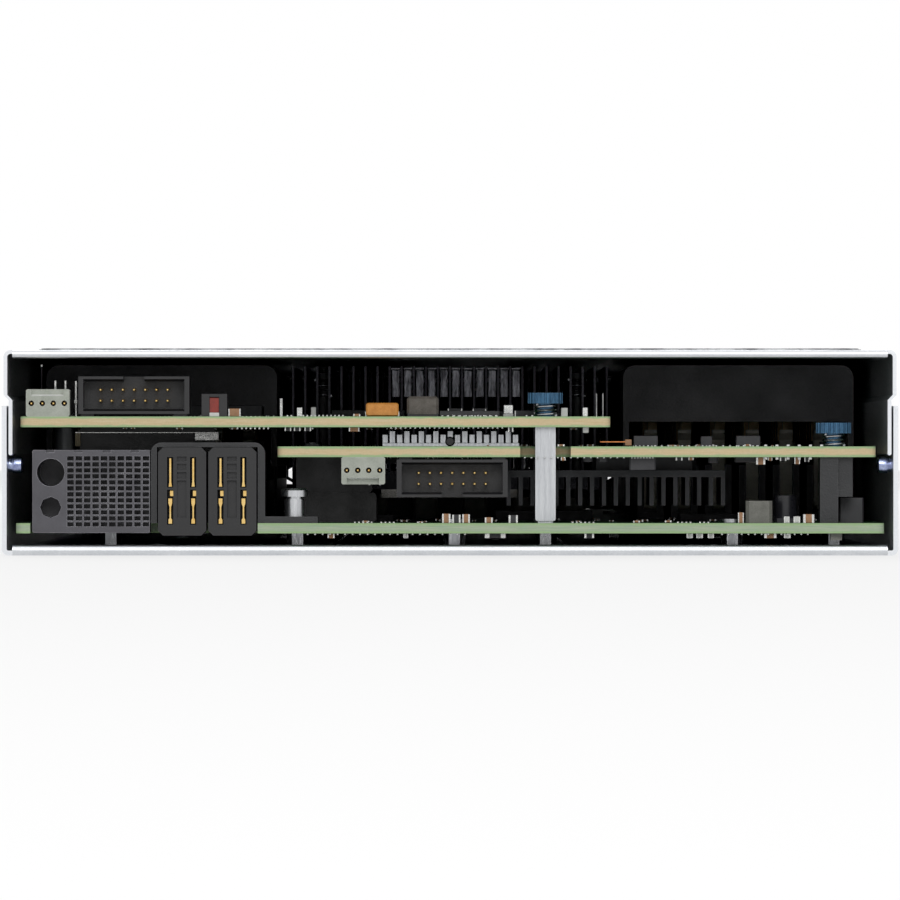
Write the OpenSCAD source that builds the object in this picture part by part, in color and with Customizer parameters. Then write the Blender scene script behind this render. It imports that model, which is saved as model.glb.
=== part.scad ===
// Half-width blade server node: an open-backed sheet metal tray with a lift-off cover,
// a motherboard with two processors and four memory banks, two stacked mezzanine cards
// over the rear connectors, and two drive sleds behind the front bezel.
// X runs across the blade, +Y points to the front bezel, Z = 0 is the underside.

/* [Enclosure] */
// Width over the tray walls
blade_w = 203.2; // [203.2:0.1:250]
// Length from the rear edge to the ejector screw head
blade_l = 620; // [620:1:760]
// Height over the raised panel of the cover
blade_h = 47; // [47:0.1:57]
// Sheet thickness of the tray
tray_t = 1.1; // [1:0.05:1.3]
// Height of the tray walls
tray_wall_h = 33.9; // [32:0.1:36]
// Outer bend radius of the tray's bottom edges
tray_bend_r = 1.5; // [1.3:0.1:2.5]
// Sheet thickness of the cover
cover_t = 0.85; // [0.7:0.05:1]
// Height of the raised panel above the cover sheet
emboss_h = 0.45; // [0.2:0.05:0.8]
// Depth of the rolled hems at the rear edge
hem_l = 10; // [6:0.5:14]
// Height at which the cover flanges end
flange_end_z = 22.7; // [22.6:0.1:26]
// Diameter of the guide studs inside the rear of the walls
stud_d = 3.7; // [3:0.1:3.9]

/* [Motherboard] */
// Thickness of the motherboard
board_t = 2.3; // [1.6:0.1:2.4]
// Height of the standoffs under the motherboard
standoff_h = 3.9; // [3.5:0.1:4.2]
// Gap from the tray's outside to the motherboard's side edges
board_inset = 3.1; // [2.6:0.1:3.4]

/* [Rear connectors] */
// Width of the signal connector
signal_w = 26.6; // [26:0.1:28]
// Height of the signal connector
signal_h = 18.8; // [18:0.1:19.5]
// Columns of signal contacts
signal_cols = 10; // [8:1:10]
// Rows of signal contacts
signal_rows = 12; // [8:1:12]
// Diameter of the guide pin bore
guide_d = 6.3; // [5:0.1:6.6]
// Width of one power connector
power_w = 10.9; // [10:0.1:11]
// Height of the power connectors
power_h = 20; // [19:0.1:21]
// Length of both connectors on the board
connector_l = 24; // [20:0.5:28]

/* [Mezzanine cards] */
// Thickness of both cards
card_t = 2.4; // [1.6:0.1:2.6]
// Length of both cards
card_l = 105; // [90:1:112]
// Width of the upper card
upper_card_w = 134; // [125:0.5:140]
// Width of the lower card
lower_card_w = 135.9; // [130:0.5:140]
// Free height between motherboard and lower card
lower_card_gap = 15; // [14.8:0.1:16]
// Free height between the two cards
card_gap = 4.4; // [4:0.1:5]
// Width of the aluminium post under the upper card
post_w = 4.6; // [4.4:0.1:6]
// Diameter of the thumbscrew heads
thumb_d = 8; // [7:0.1:9]
// Diameter of the thumbscrew shanks
thumb_shank_d = 3; // [2.5:0.1:3.2]

/* [Processors and memory] */
// Width of a heatsink
sink_w = 77; // [70:0.5:82]
// Length of a heatsink
sink_l = 108; // [100:1:112]
// Fins on a heatsink
sink_fins = 27; // [20:1:30]
// Fin thickness
fin_t = 0.5; // [0.4:0.05:0.8]
// Memory modules in a bank
bank_slots = 6; // [4:1:6]
// Distance between memory sockets
slot_pitch = 8.2; // [7.6:0.1:8.2]
// Length of a memory module
module_l = 133.35; // [133.35:0.05:134]
// Height of a memory module
module_h = 31.25; // [28:0.05:31.3]

/* [Drives] */
// Width of a drive
drive_w = 69.85; // [69.85:0.05:70.1]
// Length of a drive
drive_l = 100.2; // [98:0.1:101]
// Height of a drive
drive_h = 14.8; // [7:0.1:15]
// Height of a drive sled
sled_h = 18.6; // [18:0.1:18.8]

/* [Front] */
// Depth of the bezel
bezel_l = 8; // [8:0.1:10]
// Width across the flats of a vent hole
vent_w = 3.6; // [2.5:0.1:3.8]
// Reach of the ejector lever
lever_l = 97; // [80:1:97]
// Diameter of the power button
power_button_d = 9; // [7:0.5:10]

/* [Hidden] */
$fn = 48;

// Clearances
slack = 0.3;      // between parts that only pass each other
turn_fit = 0.05;  // radial, round a turning pin or shank
eps = 0.01;       // overlap inside one solid

// Enclosure
half_w = blade_w / 2;
rear_y = -blade_l / 2;
front_y = blade_l / 2;
cover_top = blade_h - emboss_h;
cover_under = cover_top - cover_t;
bezel_face_y = front_y - 8;
bezel_back_y = bezel_face_y - bezel_l;
shell_front_y = bezel_back_y - slack;
hem_gap = 0.12;
hem_side_inset = 2.4;
wall_in_x = half_w - tray_t;
flange_out_x = wall_in_x - 0.45;
flange_in_x = flange_out_x - cover_t;
stud_z = 20.5;
stud_y = rear_y + 9;
stud_reach = 3.3;

// Motherboard
board_z = tray_t + standoff_h;
board_top = board_z + board_t;
board_x = half_w - board_inset;
board_rear_y = rear_y + 1;
board_front_y = bezel_back_y - 117;
board_arm_x = 57;
board_arm_front_y = bezel_back_y - 4;
board_hole_d = 3;
standoff_d = 5;

// Rear connectors, placed from the left wall
overhang = 11;
signal_x = -half_w + 6.9;
signal_z = 5.1;
signal_grid_x = 8.64;
signal_grid_z = 1.95;
contact_pitch_x = 1.9;
contact_pitch_z = 1.36;
contact_hole = [1.5, 1];
contact_depth = 3.5;
guide_x = signal_x + 4.15;
guide_z = signal_z + 13.7;
guide_depth = 15;
key_z = signal_z + 5.8;
key_d = 4.8;
power_x = signal_x + signal_w + 1.9;
power_z = 4.5;
power_pitch = power_w + 0.5;
power_chamfer = 1.1;
blade_slots = [2.75, 7.95];
connector_y = rear_y + 1;
bracket_t = 1.1;
bracket_l = 12;
bracket_left_x = power_x - slack - 1.4;
bracket_right_x = power_x + power_pitch + power_w + slack;
bracket_top_z = power_z + power_h;
bracket_foot = 12;
bracket_screw_x = bracket_right_x + 8.2;
bracket_screw_y = connector_y + 8;
bracket_screw_d = 3;

// Mezzanine cards
card_rear_y = rear_y + 4;
card_front_y = card_rear_y + card_l;
card_corner_r = 1.5;
upper_x0 = -half_w + 4;
upper_x1 = upper_x0 + upper_card_w;
lower_x1 = half_w - 4.9;
lower_x0 = lower_x1 - lower_card_w;
lower_z = board_top + lower_card_gap;
lower_top = lower_z + card_t;
upper_z = lower_top + card_gap;
upper_top = upper_z + card_t;
post_x = upper_x1 - 14.7;
post_l = 7;
thumb_y = card_rear_y + 5;
support_x = lower_x1 - 9.4;
thumb_lift = 3;
thumb_h = 2.4;
thumb_depth = 8;
thumb_knurls = 24;
shoulder_d = thumb_shank_d + 0.8;
spring_wire_d = 0.7;
spring_turns = 4;
spring_mean_d = shoulder_d + 2 * turn_fit + spring_wire_d + 0.2;
post_notch_w = post_w + 6.9;
post_notch_l = 11;
card_bolt_y = card_front_y - 6;
upper_bolt_x = upper_x0 + 6;
lower_bolt_x = lower_x1 - 6;

// Headers on the cards
pin_pitch = 2.54;
box_pins = 7;
box_w = 25.2;
box_h = 8.5;
box_l = 9;
box_wall = 1.1;
box_foot_h = 0.6;
box_rows = [3.6, 6.1];
white_pins = 4;
white_pitch = 2.5;
white_w = 9.9;
white_h = 6.2;
white_l = 8;
white_row = 3;
pin_t = 0.64;
upper_box_x = upper_x0 + 25.8;
lower_box_x = lower_x0 + 39.7;
upper_white_x = upper_x0 + 6.25;
lower_white_x = lower_x0 + 19.5;

// Processors and memory
bank_rear_y = card_front_y + 97;
bank_front_y = bank_rear_y + 172;
bank_first_x = 48.5;
socket_w = 6.4;
socket_l = module_l + 8.7;
socket_h = 9;
tower_h = 13;
tower_l = 7;
socket_seat = 2.6;
module_t = 1.27;
module_chip_t = 3.6;
module_chips = 9;
latch_w = 3;
latch_pin_d = 1.6;
latch_pin_z = board_top + 4;
latch_pin_in = 2.2;
latch_hook_z = board_top + 18;
latch_top_z = board_top + 21.5;
cpu_lid_top = board_top + 7;
cpu_w = 52.5;
cpu_l = 45;
lid_w = 38;
sink_base_t = 4.5;
sink_top = cover_under - 1.4;
sink_pitch = (sink_w - fin_t) / (sink_fins - 1);
sink_screw_x = 31;
sink_screw_y = 47;
sink_screw_d = 4;
sink_screw_top = sink_top - 1.6;
baffle_t = 1.4;
baffle_in_x = sink_w / 2 + 3;
baffle_out_x = bank_first_x + (bank_slots - 1) * slot_pitch + 7.2;
baffle_top = cover_under - 1.5;
baffle_lip_z = 30.7;
baffle_rear_y = bank_rear_y - socket_l / 2 - 20;
baffle_front_y = bank_rear_y + socket_l / 2 + 2;

// Drives
cage_t = 1.2;
cage_foot_w = 7;
claw_room = 1.5;
sled_w = drive_w + 3.4;
bay_w = sled_w + 2 * slack;
bay_gap = 2;
bay_floor = 23.8;
bay_h = sled_h + 2 * slack;
cage_x0 = -half_w + 5.4;
cage_x1 = cage_x0 + 2 * cage_t + 2 * bay_w + bay_gap;
cage_rear_y = bezel_back_y - 108;
cage_front_y = bezel_back_y;
bay_x = [cage_x0 + cage_t + bay_w / 2, cage_x1 - cage_t - bay_w / 2];
sled_floor_t = 1;
sled_z = bay_floor + slack;
drive_z = sled_z + sled_floor_t;
fascia_y = bezel_back_y - 1;
fascia_t = 3;
fascia_front_y = bezel_face_y + 3;
drive_front_y = fascia_y - 0.8;
drive_rear_y = drive_front_y - drive_l;
backplane_t = 2;
backplane_y = cage_rear_y - 2 - backplane_t;
sled_pin_d = 2;
sled_pin_in = 3.2;
sled_hub_r = 2;
sled_lever_w = 52;
sled_lever_h = 12.6;
sled_button = [7.6, 9.6];
sled_button_in = 7;

// Front
lever_pin_x = -half_w + 8.6;
lever_pin_y = bezel_face_y + 2.5;
lever_pin_d = 3;
lever_z = 4.9;
lever_h = 8.4;
lever_t = 1.6;
lever_hub_r = 2.5;
lever_screw_x = lever_pin_x + lever_l - 14;
lever_screw_z = lever_z + lever_h / 2;
lever_screw_d = 3;
screw_head_d = 8;
ear_t = 1.3;
bezel_wall = 1.6;
bezel_plate = 2;
vent_pitch = vent_w + 0.8;
button_z = 35;
power_button_x = board_arm_x + 10;
locator_button_x = power_button_x + 14;
locator_button_d = 6;
button_travel = 1.5;
pipe_d = 2;
pipe_x = half_w - 8;
pipe_zs = [24, 29.5, 35, 40.5];
panel_board_y = bezel_back_y - 6;
panel_board_t = 1.6;
console_x = board_arm_x + 8;
console_w = 24;
console_h = 9;
panel_foot_x = console_x + console_w + 2;
cover_button_d = 13;
cover_button_x = half_w - 23;
cover_button_y = bezel_back_y - 34;
cover_cup_h = 7.5;
cover_button_travel = 2;

// A box between two corners, given as one range for each axis
module span(x, y, z) {
  translate([x[0], y[0], z[0]])
    cube([x[1] - x[0], y[1] - y[0], z[1] - z[0]]);
}

// An X-Z outline swept from y0 to y1
module along_y(y0, y1) {
  translate([0, y1, 0])
    rotate([90, 0, 0])
      linear_extrude(y1 - y0)
        children();
}

// A Y-Z outline swept from x0 to x1
module along_x(x0, x1) {
  translate([x0, 0, 0])
    rotate([90, 0, 90])
      linear_extrude(x1 - x0)
        children();
}

// An X-Y outline swept from z0 to z1
module along_z(z0, z1) {
  translate([0, 0, z0])
    linear_extrude(z1 - z0)
      children();
}

// Rectangle between two corners with round corners of radius r
module rounded(x, y, r) {
  difference() {
    translate([x[0], y[0]])
      square([x[1] - x[0], y[1] - y[0]]);
    for (i = [0, 1], j = [0, 1])
      translate([x[i], y[j]])
        mirror([i, 0])
          mirror([0, j])
            difference() {
              translate([-1, -1])
                square(r + 1);
              translate([r, r])
                circle(r);
            }
  }
}

// Rectangle between two corners with cut corners
module chamfered(x, y, c) {
  polygon([
    [x[0] + c, y[0]], [x[1] - c, y[0]], [x[1], y[0] + c], [x[1], y[1] - c],
    [x[1] - c, y[1]], [x[0] + c, y[1]], [x[0], y[1] - c], [x[0], y[0] + c]
  ]);
}

// ---------- enclosure ----------

// Closed hem at the rear edge: t is the sheet, up is +1 for a layer above the sheet
module hem_outline(z, t, up) {
  nose_r = t + hem_gap / 2;
  translate([rear_y, z])
    mirror([0, up > 0 ? 0 : 1]) {
      intersection() {
        translate([nose_r, nose_r])
          circle(nose_r);
        square([nose_r, 2 * nose_r]);
      }
      translate([nose_r - eps, 0])
        square([2 * eps, 2 * nose_r]);
      translate([nose_r, t + hem_gap])
        square([hem_l - nose_r, t]);
      translate([nose_r, 0])
        square([1, t]);
    }
}

module tray_outline() {
  difference() {
    rounded([-half_w, half_w], [0, tray_wall_h + 2 * tray_bend_r], tray_bend_r);
    rounded([-wall_in_x, wall_in_x], [tray_t, tray_wall_h + 3 * tray_bend_r],
      tray_bend_r - tray_t);
    translate([-half_w, tray_wall_h])
      square([blade_w, 3 * tray_bend_r]);
  }
}

module base_tray() {
  hem_x = half_w - hem_side_inset;
  nose_r = tray_t + hem_gap / 2;
  bead_w = 5;
  bead_depth = 0.4;
  color("gainsboro")
    difference() {
      union() {
        difference() {
          along_y(rear_y, shell_front_y)
            tray_outline();
          span([-hem_x, hem_x], [rear_y - 1, rear_y + nose_r], [-1, tray_t + 1]);
        }
        along_x(-hem_x, hem_x)
          hem_outline(0, tray_t, 1);
        // stiffening beads pressed up out of the floor
        for (side = [-1, 1])
          span([side * 30 - bead_w / 2, side * 30 + bead_w / 2],
            [rear_y + 40, board_front_y], [tray_t, tray_t + bead_depth]);
      }
      for (side = [-1, 1])
        span([side * 30 - bead_w / 2 + bead_depth, side * 30 + bead_w / 2 - bead_depth],
          [rear_y + 40 + bead_depth, board_front_y - bead_depth], [-1, bead_depth]);
      // slots for the cover's hooks, high in both walls
      for (side = [-1, 1], i = [0:4])
        along_x(side * half_w - 3, side * half_w + 3)
          rounded([rear_y + 60 + i * blade_l / 5.6, rear_y + 74 + i * blade_l / 5.6],
            [27, 30], 1.4);
      // rivet holes of the guide studs
      for (side = [-1, 1])
        translate([side * half_w, stud_y, stud_z])
          rotate([0, 90, 0])
            cylinder(h = 6, d = 2.4, center = true);
      // screw holes of the standoffs
      for (p = standoff_places())
        translate([p[0], p[1], -1])
          cylinder(h = tray_t + 2, d = board_hole_d);
      // dimpled sockets that key the blade in its chassis slot
      for (side = [-1, 1], y = [rear_y + 130, 0, front_y - 130])
        translate([side * 70, y, -1])
          cylinder(h = tray_t + 2, d = 4);
    }
}

module side_studs() {
  color("steelblue")
    for (side = [-1, 1])
      translate([side * half_w, stud_y, stud_z])
        rotate([0, -side * 90, 0]) {
          cylinder(h = tray_t + 0.5, d = 2.4);
          translate([0, 0, tray_t])
            cylinder(h = 1.1, d = stud_d - 0.6);
          translate([0, 0, tray_t + 1])
            cylinder(h = stud_reach - 1.4, d = stud_d);
          translate([0, 0, tray_t + stud_reach - 0.4 - eps])
            cylinder(h = 0.4, d1 = stud_d, d2 = stud_d - 0.8);
        }
}

// Right half of the cover's cross-section: sheet, bend, joggled flange
module cover_half_outline() {
  bend_r = 1.6;
  top_out_x = half_w - 0.4;
  joggle_z = tray_wall_h + 1.3;
  joggle_h = 1.2;
  difference() {
    rounded([-1, top_out_x], [joggle_z, cover_top], bend_r);
    rounded([-3, top_out_x - cover_t], [joggle_z - 4, cover_under], bend_r - cover_t);
    translate([-3, joggle_z - 5])
      square([half_w + 3, 5 + joggle_h]);
    translate([-3, joggle_z])
      square([3, cover_top]);
  }
  polygon([
    [top_out_x, joggle_z + joggle_h + eps], [flange_out_x, joggle_z],
    [flange_out_x, flange_end_z + 0.3], [flange_out_x - 0.3, flange_end_z],
    [flange_in_x + 0.3, flange_end_z], [flange_in_x, flange_end_z + 0.3],
    [flange_in_x, joggle_z], [top_out_x - cover_t, joggle_z + joggle_h + eps]
  ]);
}

module top_cover() {
  hem_x = half_w - hem_side_inset;
  nose_r = cover_t + hem_gap / 2;
  panel_x = half_w - 8;
  cup_r = cover_button_d / 2 + 1.5;
  color("gainsboro")
    difference() {
      union() {
        difference() {
          along_y(rear_y, shell_front_y)
            for (side = [0, 1])
              mirror([side, 0])
                cover_half_outline();
          span([-hem_x, hem_x], [rear_y - 1, rear_y + nose_r],
            [cover_under - 1, cover_top + 1]);
        }
        along_x(-hem_x, hem_x)
          hem_outline(cover_top, cover_t, -1);
        // raised panel
        along_z(cover_top - eps, cover_top + emboss_h / 2)
          rounded([-panel_x, panel_x], [rear_y + 3, shell_front_y - 10], 6);
        along_z(cover_top, cover_top + emboss_h)
          rounded([-panel_x + 0.6, panel_x - 0.6],
            [rear_y + 3.6, shell_front_y - 10.6], 5.4);
        // cup that carries the release button
        translate([cover_button_x, cover_button_y, cover_under - cover_cup_h])
          cylinder(h = cover_cup_h + eps, r = cup_r);
      }
      // two long shallow channels across the panel
      for (x = [-panel_x / 2, panel_x / 2 - 12])
        along_z(cover_top + emboss_h / 2, blade_h + 1)
          rounded([x, x + 12], [rear_y + 60, front_y - 90], 5.9);
      // dished finger recess and bore of the button
      translate([cover_button_x, cover_button_y, cover_top - 0.4])
        cylinder(h = 2, d = cover_button_d + 9);
      translate([cover_button_x, cover_button_y, cover_under - cover_cup_h + 1])
        cylinder(h = 20, d = cover_button_d + 2 * slack);
    }
}

module cover_button() {
  floor_z = cover_under - cover_cup_h + 1;
  head_z = floor_z + cover_button_travel + 1.5;
  color("royalblue")
    translate([cover_button_x, cover_button_y, 0])
      difference() {
        union() {
          translate([0, 0, head_z])
            cylinder(h = cover_top - 0.6 - head_z, d = cover_button_d);
          translate([0, 0, floor_z + cover_button_travel + slack])
            cylinder(h = head_z - floor_z - cover_button_travel, d = 4);
        }
        translate([0, 0, cover_top + 12.8])
          sphere(r = 14);
      }
}

// ---------- motherboard ----------

function standoff_places() = [
  [-board_x + 20, rear_y + 45], [-35, rear_y + 28], [1, rear_y + 20], [22, rear_y + 34],
  [64.7, rear_y + 24], [board_x - 10, rear_y + 36],
  for (side = [-1, 1], y = [bank_rear_y + 84, board_front_y - 8])
    [side * (bank_first_x - 6), y],
  [board_arm_x + 6, board_arm_front_y - 40], [board_x - 6, board_arm_front_y - 40]
];

module motherboard() {
  notch_x0 = signal_x - 0.5;
  notch_x1 = bracket_right_x;
  notch_y = connector_y + overhang + 0.5;
  color("seagreen")
    along_z(board_z, board_top)
      difference() {
        union() {
          rounded([-board_x, board_x], [board_rear_y, board_front_y], 2);
          rounded([board_arm_x, board_x], [board_front_y - 10, board_arm_front_y], 2);
        }
        // the rear connectors hang over the edge of the board here
        translate([notch_x0, board_rear_y - 1])
          square([notch_x1 - notch_x0, notch_y - board_rear_y + 1]);
        for (p = standoff_places())
          translate(p)
            circle(d = board_hole_d);
        translate([bracket_screw_x, bracket_screw_y])
          circle(d = bracket_screw_d);
      }
}

module board_standoffs() {
  color("silver")
    for (p = standoff_places())
      translate([p[0], p[1], tray_t]) {
        cylinder(h = standoff_h, d = standoff_d, $fn = 6);
        translate([0, 0, standoff_h - eps])
          cylinder(h = board_t + eps, d = board_hole_d);
        translate([0, 0, standoff_h + board_t])
          cylinder(h = 0.8, d = 5.6);
        translate([0, 0, -tray_t + 0.1])
          cylinder(h = tray_t, d = board_hole_d);
      }
}

// Packages on the board: [x, y, width, length, height]
function chip_places() = [
  [board_x - 7, rear_y + 16, 5.5, 9, 5.7], [-20, rear_y + 62, 14, 14, 1.4],
  [62, rear_y + 70, 17, 17, 1.6], [22, rear_y + 92, 23, 23, 2.2],
  [-70, rear_y + 92, 12, 18, 1.2], [80, rear_y + 92, 9, 9, 1.2],
  [0, bank_rear_y + 86, 20, 14, 1.5], [-24, board_front_y - 12, 9, 12, 1.2],
  [30, board_front_y - 12, 14, 9, 1.2], [78, board_arm_front_y - 62, 16, 16, 1.6]
];

module board_chips() {
  color("#26272b")
    for (c = chip_places())
      translate([c[0], c[1], board_top])
        along_z(0, c[4])
          chamfered([-c[2] / 2, c[2] / 2], [-c[3] / 2, c[3] / 2], 0.3);
}

function choke_places() = [
  [70.5, rear_y + 15],
  for (y = [bank_rear_y - sink_l / 2 - 9, bank_front_y - sink_l / 2 - 9], i = [0:5])
    [-30 + i * 12, y]
];

module board_chokes() {
  choke_w = 6;
  choke_h = 5;
  color("gray")
    for (p = choke_places())
      translate([p[0], p[1], board_top])
        along_z(0, choke_h)
          chamfered([-choke_w / 2, choke_w / 2], [-choke_w / 2, choke_w / 2], 0.7);
}

function capacitor_places() = [
  [76.8, rear_y + 19],
  for (y = [bank_rear_y + sink_l / 2 + 8, bank_front_y + sink_l / 2 + 8], i = [0:7])
    [-31.5 + i * 9, y]
];

module board_capacitors() {
  can_d = 5.7;
  can_h = 6.2;
  color("#33343a")
    for (p = capacitor_places())
      translate([p[0], p[1], board_top]) {
        along_z(0, 1)
          chamfered([-can_d / 2, can_d / 2], [-can_d / 2, can_d / 2], 0.8);
        cylinder(h = can_h, d = can_d - 0.4);
      }
}

// ---------- rear connectors ----------

module signal_connector() {
  x1 = signal_x + signal_w;
  z1 = signal_z + signal_h;
  back_y = connector_y + connector_l;
  color("#4a4b50")
    difference() {
      union() {
        along_y(connector_y, connector_y + contact_depth)
          difference() {
            chamfered([signal_x, x1], [signal_z, z1], 0.3);
            for (i = [0:signal_cols - 1], j = [0:signal_rows - 1])
              translate([
                signal_x + signal_grid_x + i * contact_pitch_x - contact_hole[0] / 2,
                signal_z + signal_grid_z + j * contact_pitch_z - contact_hole[1] / 2
              ])
                square(contact_hole);
          }
        span([signal_x, x1], [connector_y + contact_depth - eps, connector_y + overhang],
          [signal_z, z1]);
        along_x(signal_x, x1)
          polygon([
            [connector_y + overhang - eps, board_top], [back_y, board_top],
            [back_y, z1 - 7], [back_y - 5, z1], [connector_y + overhang - eps, z1]
          ]);
      }
      translate([guide_x, connector_y - 1, guide_z])
        rotate([-90, 0, 0])
          cylinder(h = guide_depth + 1, d = guide_d);
      translate([guide_x, connector_y - 1, key_z])
        rotate([-90, 0, 0])
          cylinder(h = 9, d = key_d, $fn = 8);
      // moulding notches along the top edge
      for (i = [0:3])
        span([signal_x + 3 + i * 6.4, signal_x + 5 + i * 6.4],
          [connector_y - 1, connector_y + 2], [z1 - 0.6, z1 + 1]);
    }
}

module power_connector_housing() {
  slot_w = 1.4;
  slot_l = 6;
  ladder_w = 2.2;
  difference() {
    union() {
      along_y(connector_y, connector_y + overhang)
        chamfered([0, power_w], [power_z, power_z + power_h], power_chamfer);
      along_x(0.4, power_w - 0.4)
        polygon([
          [connector_y + overhang - eps, board_top],
          [connector_y + connector_l, board_top],
          [connector_y + connector_l, power_z + power_h - 8],
          [connector_y + connector_l - 5, power_z + power_h - 1],
          [connector_y + overhang - eps, power_z + power_h - 1]
        ]);
    }
    for (x = blade_slots)
      along_y(connector_y - 1, connector_y + slot_l)
        for (r = [[2.5, 8.9], [8.6, 10.4], [10.9, 17.8]])
          translate([x - slot_w / 2, power_z + r[0]])
            square([slot_w, r[1] - r[0]]);
    // ladder of shallow pockets between the contacts
    for (r = [[4, 12.5], [12.9, 14.4], [14.9, 16.3], [16.8, 17.9]])
      span([power_w / 2 - ladder_w / 2 - 0.1, power_w / 2 + ladder_w / 2 - 0.1],
        [connector_y - 1, connector_y + 0.8], [power_z + r[0], power_z + r[1]]);
  }
}

module power_connectors() {
  color("#3b3c41")
    for (i = [0, 1])
      translate([power_x + i * power_pitch, 0, 0])
        power_connector_housing();
}

module power_contacts() {
  tip_y = connector_y + 0.7;
  end_y = connector_y + 6;
  color("goldenrod")
    for (i = [0, 1], x = blade_slots)
      translate([power_x + i * power_pitch + x, 0, power_z])
        along_y(tip_y, end_y) {
          // upper blade, small square tongue, waisted lower blade
          polygon([
            [-0.35, 11.1], [0.35, 11.1], [0.2, 12.2], [0.2, 17.5], [-0.2, 17.5], [-0.2, 12.2]
          ]);
          translate([-0.05, 8.95])
            square([0.75, 1.2]);
          polygon([
            [-0.4, 2.7], [0.4, 2.7], [0.4, 3.6], [0.16, 4], [0.16, 6.5],
            [0.42, 7.3], [0.42, 8.4], [-0.42, 8.4], [-0.42, 7.3], [-0.16, 6.5],
            [-0.16, 4], [-0.4, 3.6]
          ]);
        }
}

module connector_bracket() {
  y1 = connector_y + bracket_l;
  leg_x = bracket_right_x + 1.6;
  color("#202124")
    difference() {
      along_y(connector_y + 1, y1)
        difference() {
          union() {
            rounded([bracket_left_x, leg_x],
              [board_top - 6, bracket_top_z + bracket_t], 2.5);
            translate([leg_x - eps, board_top])
              square([bracket_foot, 1.5]);
          }
          translate([bracket_left_x - 1, board_top - 7])
            square([leg_x - bracket_left_x + 1 + eps, 7]);
          translate([bracket_left_x + 1.4, board_top - 7])
            square([bracket_right_x - bracket_left_x - 1.4,
              bracket_top_z + slack / 3 - board_top + 7]);
        }
      // the notch of the motherboard passes below the legs
      translate([bracket_screw_x, bracket_screw_y, 0])
        cylinder(h = 20, d = bracket_screw_d);
    }
}

module bracket_screw() {
  foot_top = board_top + 1.5;
  color("silver")
    translate([bracket_screw_x, bracket_screw_y, 0]) {
      translate([0, 0, board_z + 0.2])
        cylinder(h = foot_top - board_z, d = bracket_screw_d);
      translate([0, 0, foot_top])
        cylinder(h = 3.9, d = 4.6);
      translate([0, 0, foot_top + 3.8])
        cylinder(h = 0.8, d = 3.8);
      translate([0, 0, foot_top + 4.5])
        cylinder(h = 1.4, d = 6.2);
      translate([0, 0, foot_top + 5.9 - eps])
        cylinder(h = 0.5, d1 = 6.2, d2 = 5.2);
    }
}

// ---------- mezzanine cards ----------

module upper_card() {
  color("darkkhaki")
    along_z(upper_z, upper_top)
      difference() {
        rounded([upper_x0, upper_x1], [card_rear_y, card_front_y], card_corner_r);
        translate([post_x, thumb_y])
          circle(d = shoulder_d + 0.4);
        translate([upper_bolt_x, card_bolt_y])
          circle(d = board_hole_d);
        translate([upper_x1 - 5, card_front_y])
          circle(r = 3);
      }
}

module lower_card() {
  color("darkkhaki")
    along_z(lower_z, lower_top)
      difference() {
        rounded([lower_x0, lower_x1], [card_rear_y, card_front_y], card_corner_r);
        rounded([post_x - post_notch_w / 2, post_x + post_notch_w / 2],
          [card_rear_y - post_notch_l, card_rear_y + post_notch_l], 2);
        translate([support_x, thumb_y])
          circle(d = shoulder_d + 0.4);
        translate([lower_bolt_x, card_bolt_y])
          circle(d = board_hole_d);
        translate([lower_x0 + 6, card_bolt_y])
          circle(d = board_hole_d);
      }
}

// Round standoff from the motherboard to a card's underside, with its screw
module card_standoff(x, y, z1) {
  translate([x, y, board_top]) {
    cylinder(h = z1 - board_top, d = 5.4);
    translate([0, 0, z1 - board_top - eps])
      cylinder(h = card_t + 2 * eps, d = board_hole_d);
    translate([0, 0, z1 - board_top + card_t])
      cylinder(h = 1, d = 5.4);
  }
}

module card_posts() {
  color("silver") {
    // flat milled post beside the notch of the lower card
    difference() {
      union() {
        along_y(thumb_y - post_l / 2, thumb_y + post_l / 2)
          rounded([post_x - post_w / 2, post_x + post_w / 2],
            [board_top + 0.5, upper_z + 1], 0.5);
        span([post_x - post_w / 2 + 0.6, post_x + post_w / 2 - 0.6],
          [thumb_y - post_l / 2 + 0.6, thumb_y + post_l / 2 - 0.6],
          [board_top, board_top + 2]);
      }
      span([post_x - post_w, post_x + post_w], [thumb_y - post_l, thumb_y + post_l],
        [upper_z, upper_z + 5]);
      translate([post_x, thumb_y, upper_z - thumb_depth])
        cylinder(h = thumb_depth + 2, d = thumb_shank_d + 2 * turn_fit);
    }
    card_standoff(upper_bolt_x, card_bolt_y, upper_z);
    card_standoff(lower_bolt_x, card_bolt_y, lower_z);
    card_standoff(lower_x0 + 6, card_bolt_y, lower_z);
  }
}

module support_block() {
  color("#1c1d20")
    difference() {
      union() {
        span([support_x - 3.2, support_x + 0.9], [thumb_y - 4, thumb_y + 5],
          [board_top, lower_z]);
        span([support_x + 0.8, support_x + 4.2], [thumb_y - 3, thumb_y + 14],
          [board_top + 6, lower_z]);
      }
      translate([support_x, thumb_y, lower_z - thumb_depth])
        cylinder(h = thumb_depth + 2, d = thumb_shank_d + 2 * turn_fit);
    }
}

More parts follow.
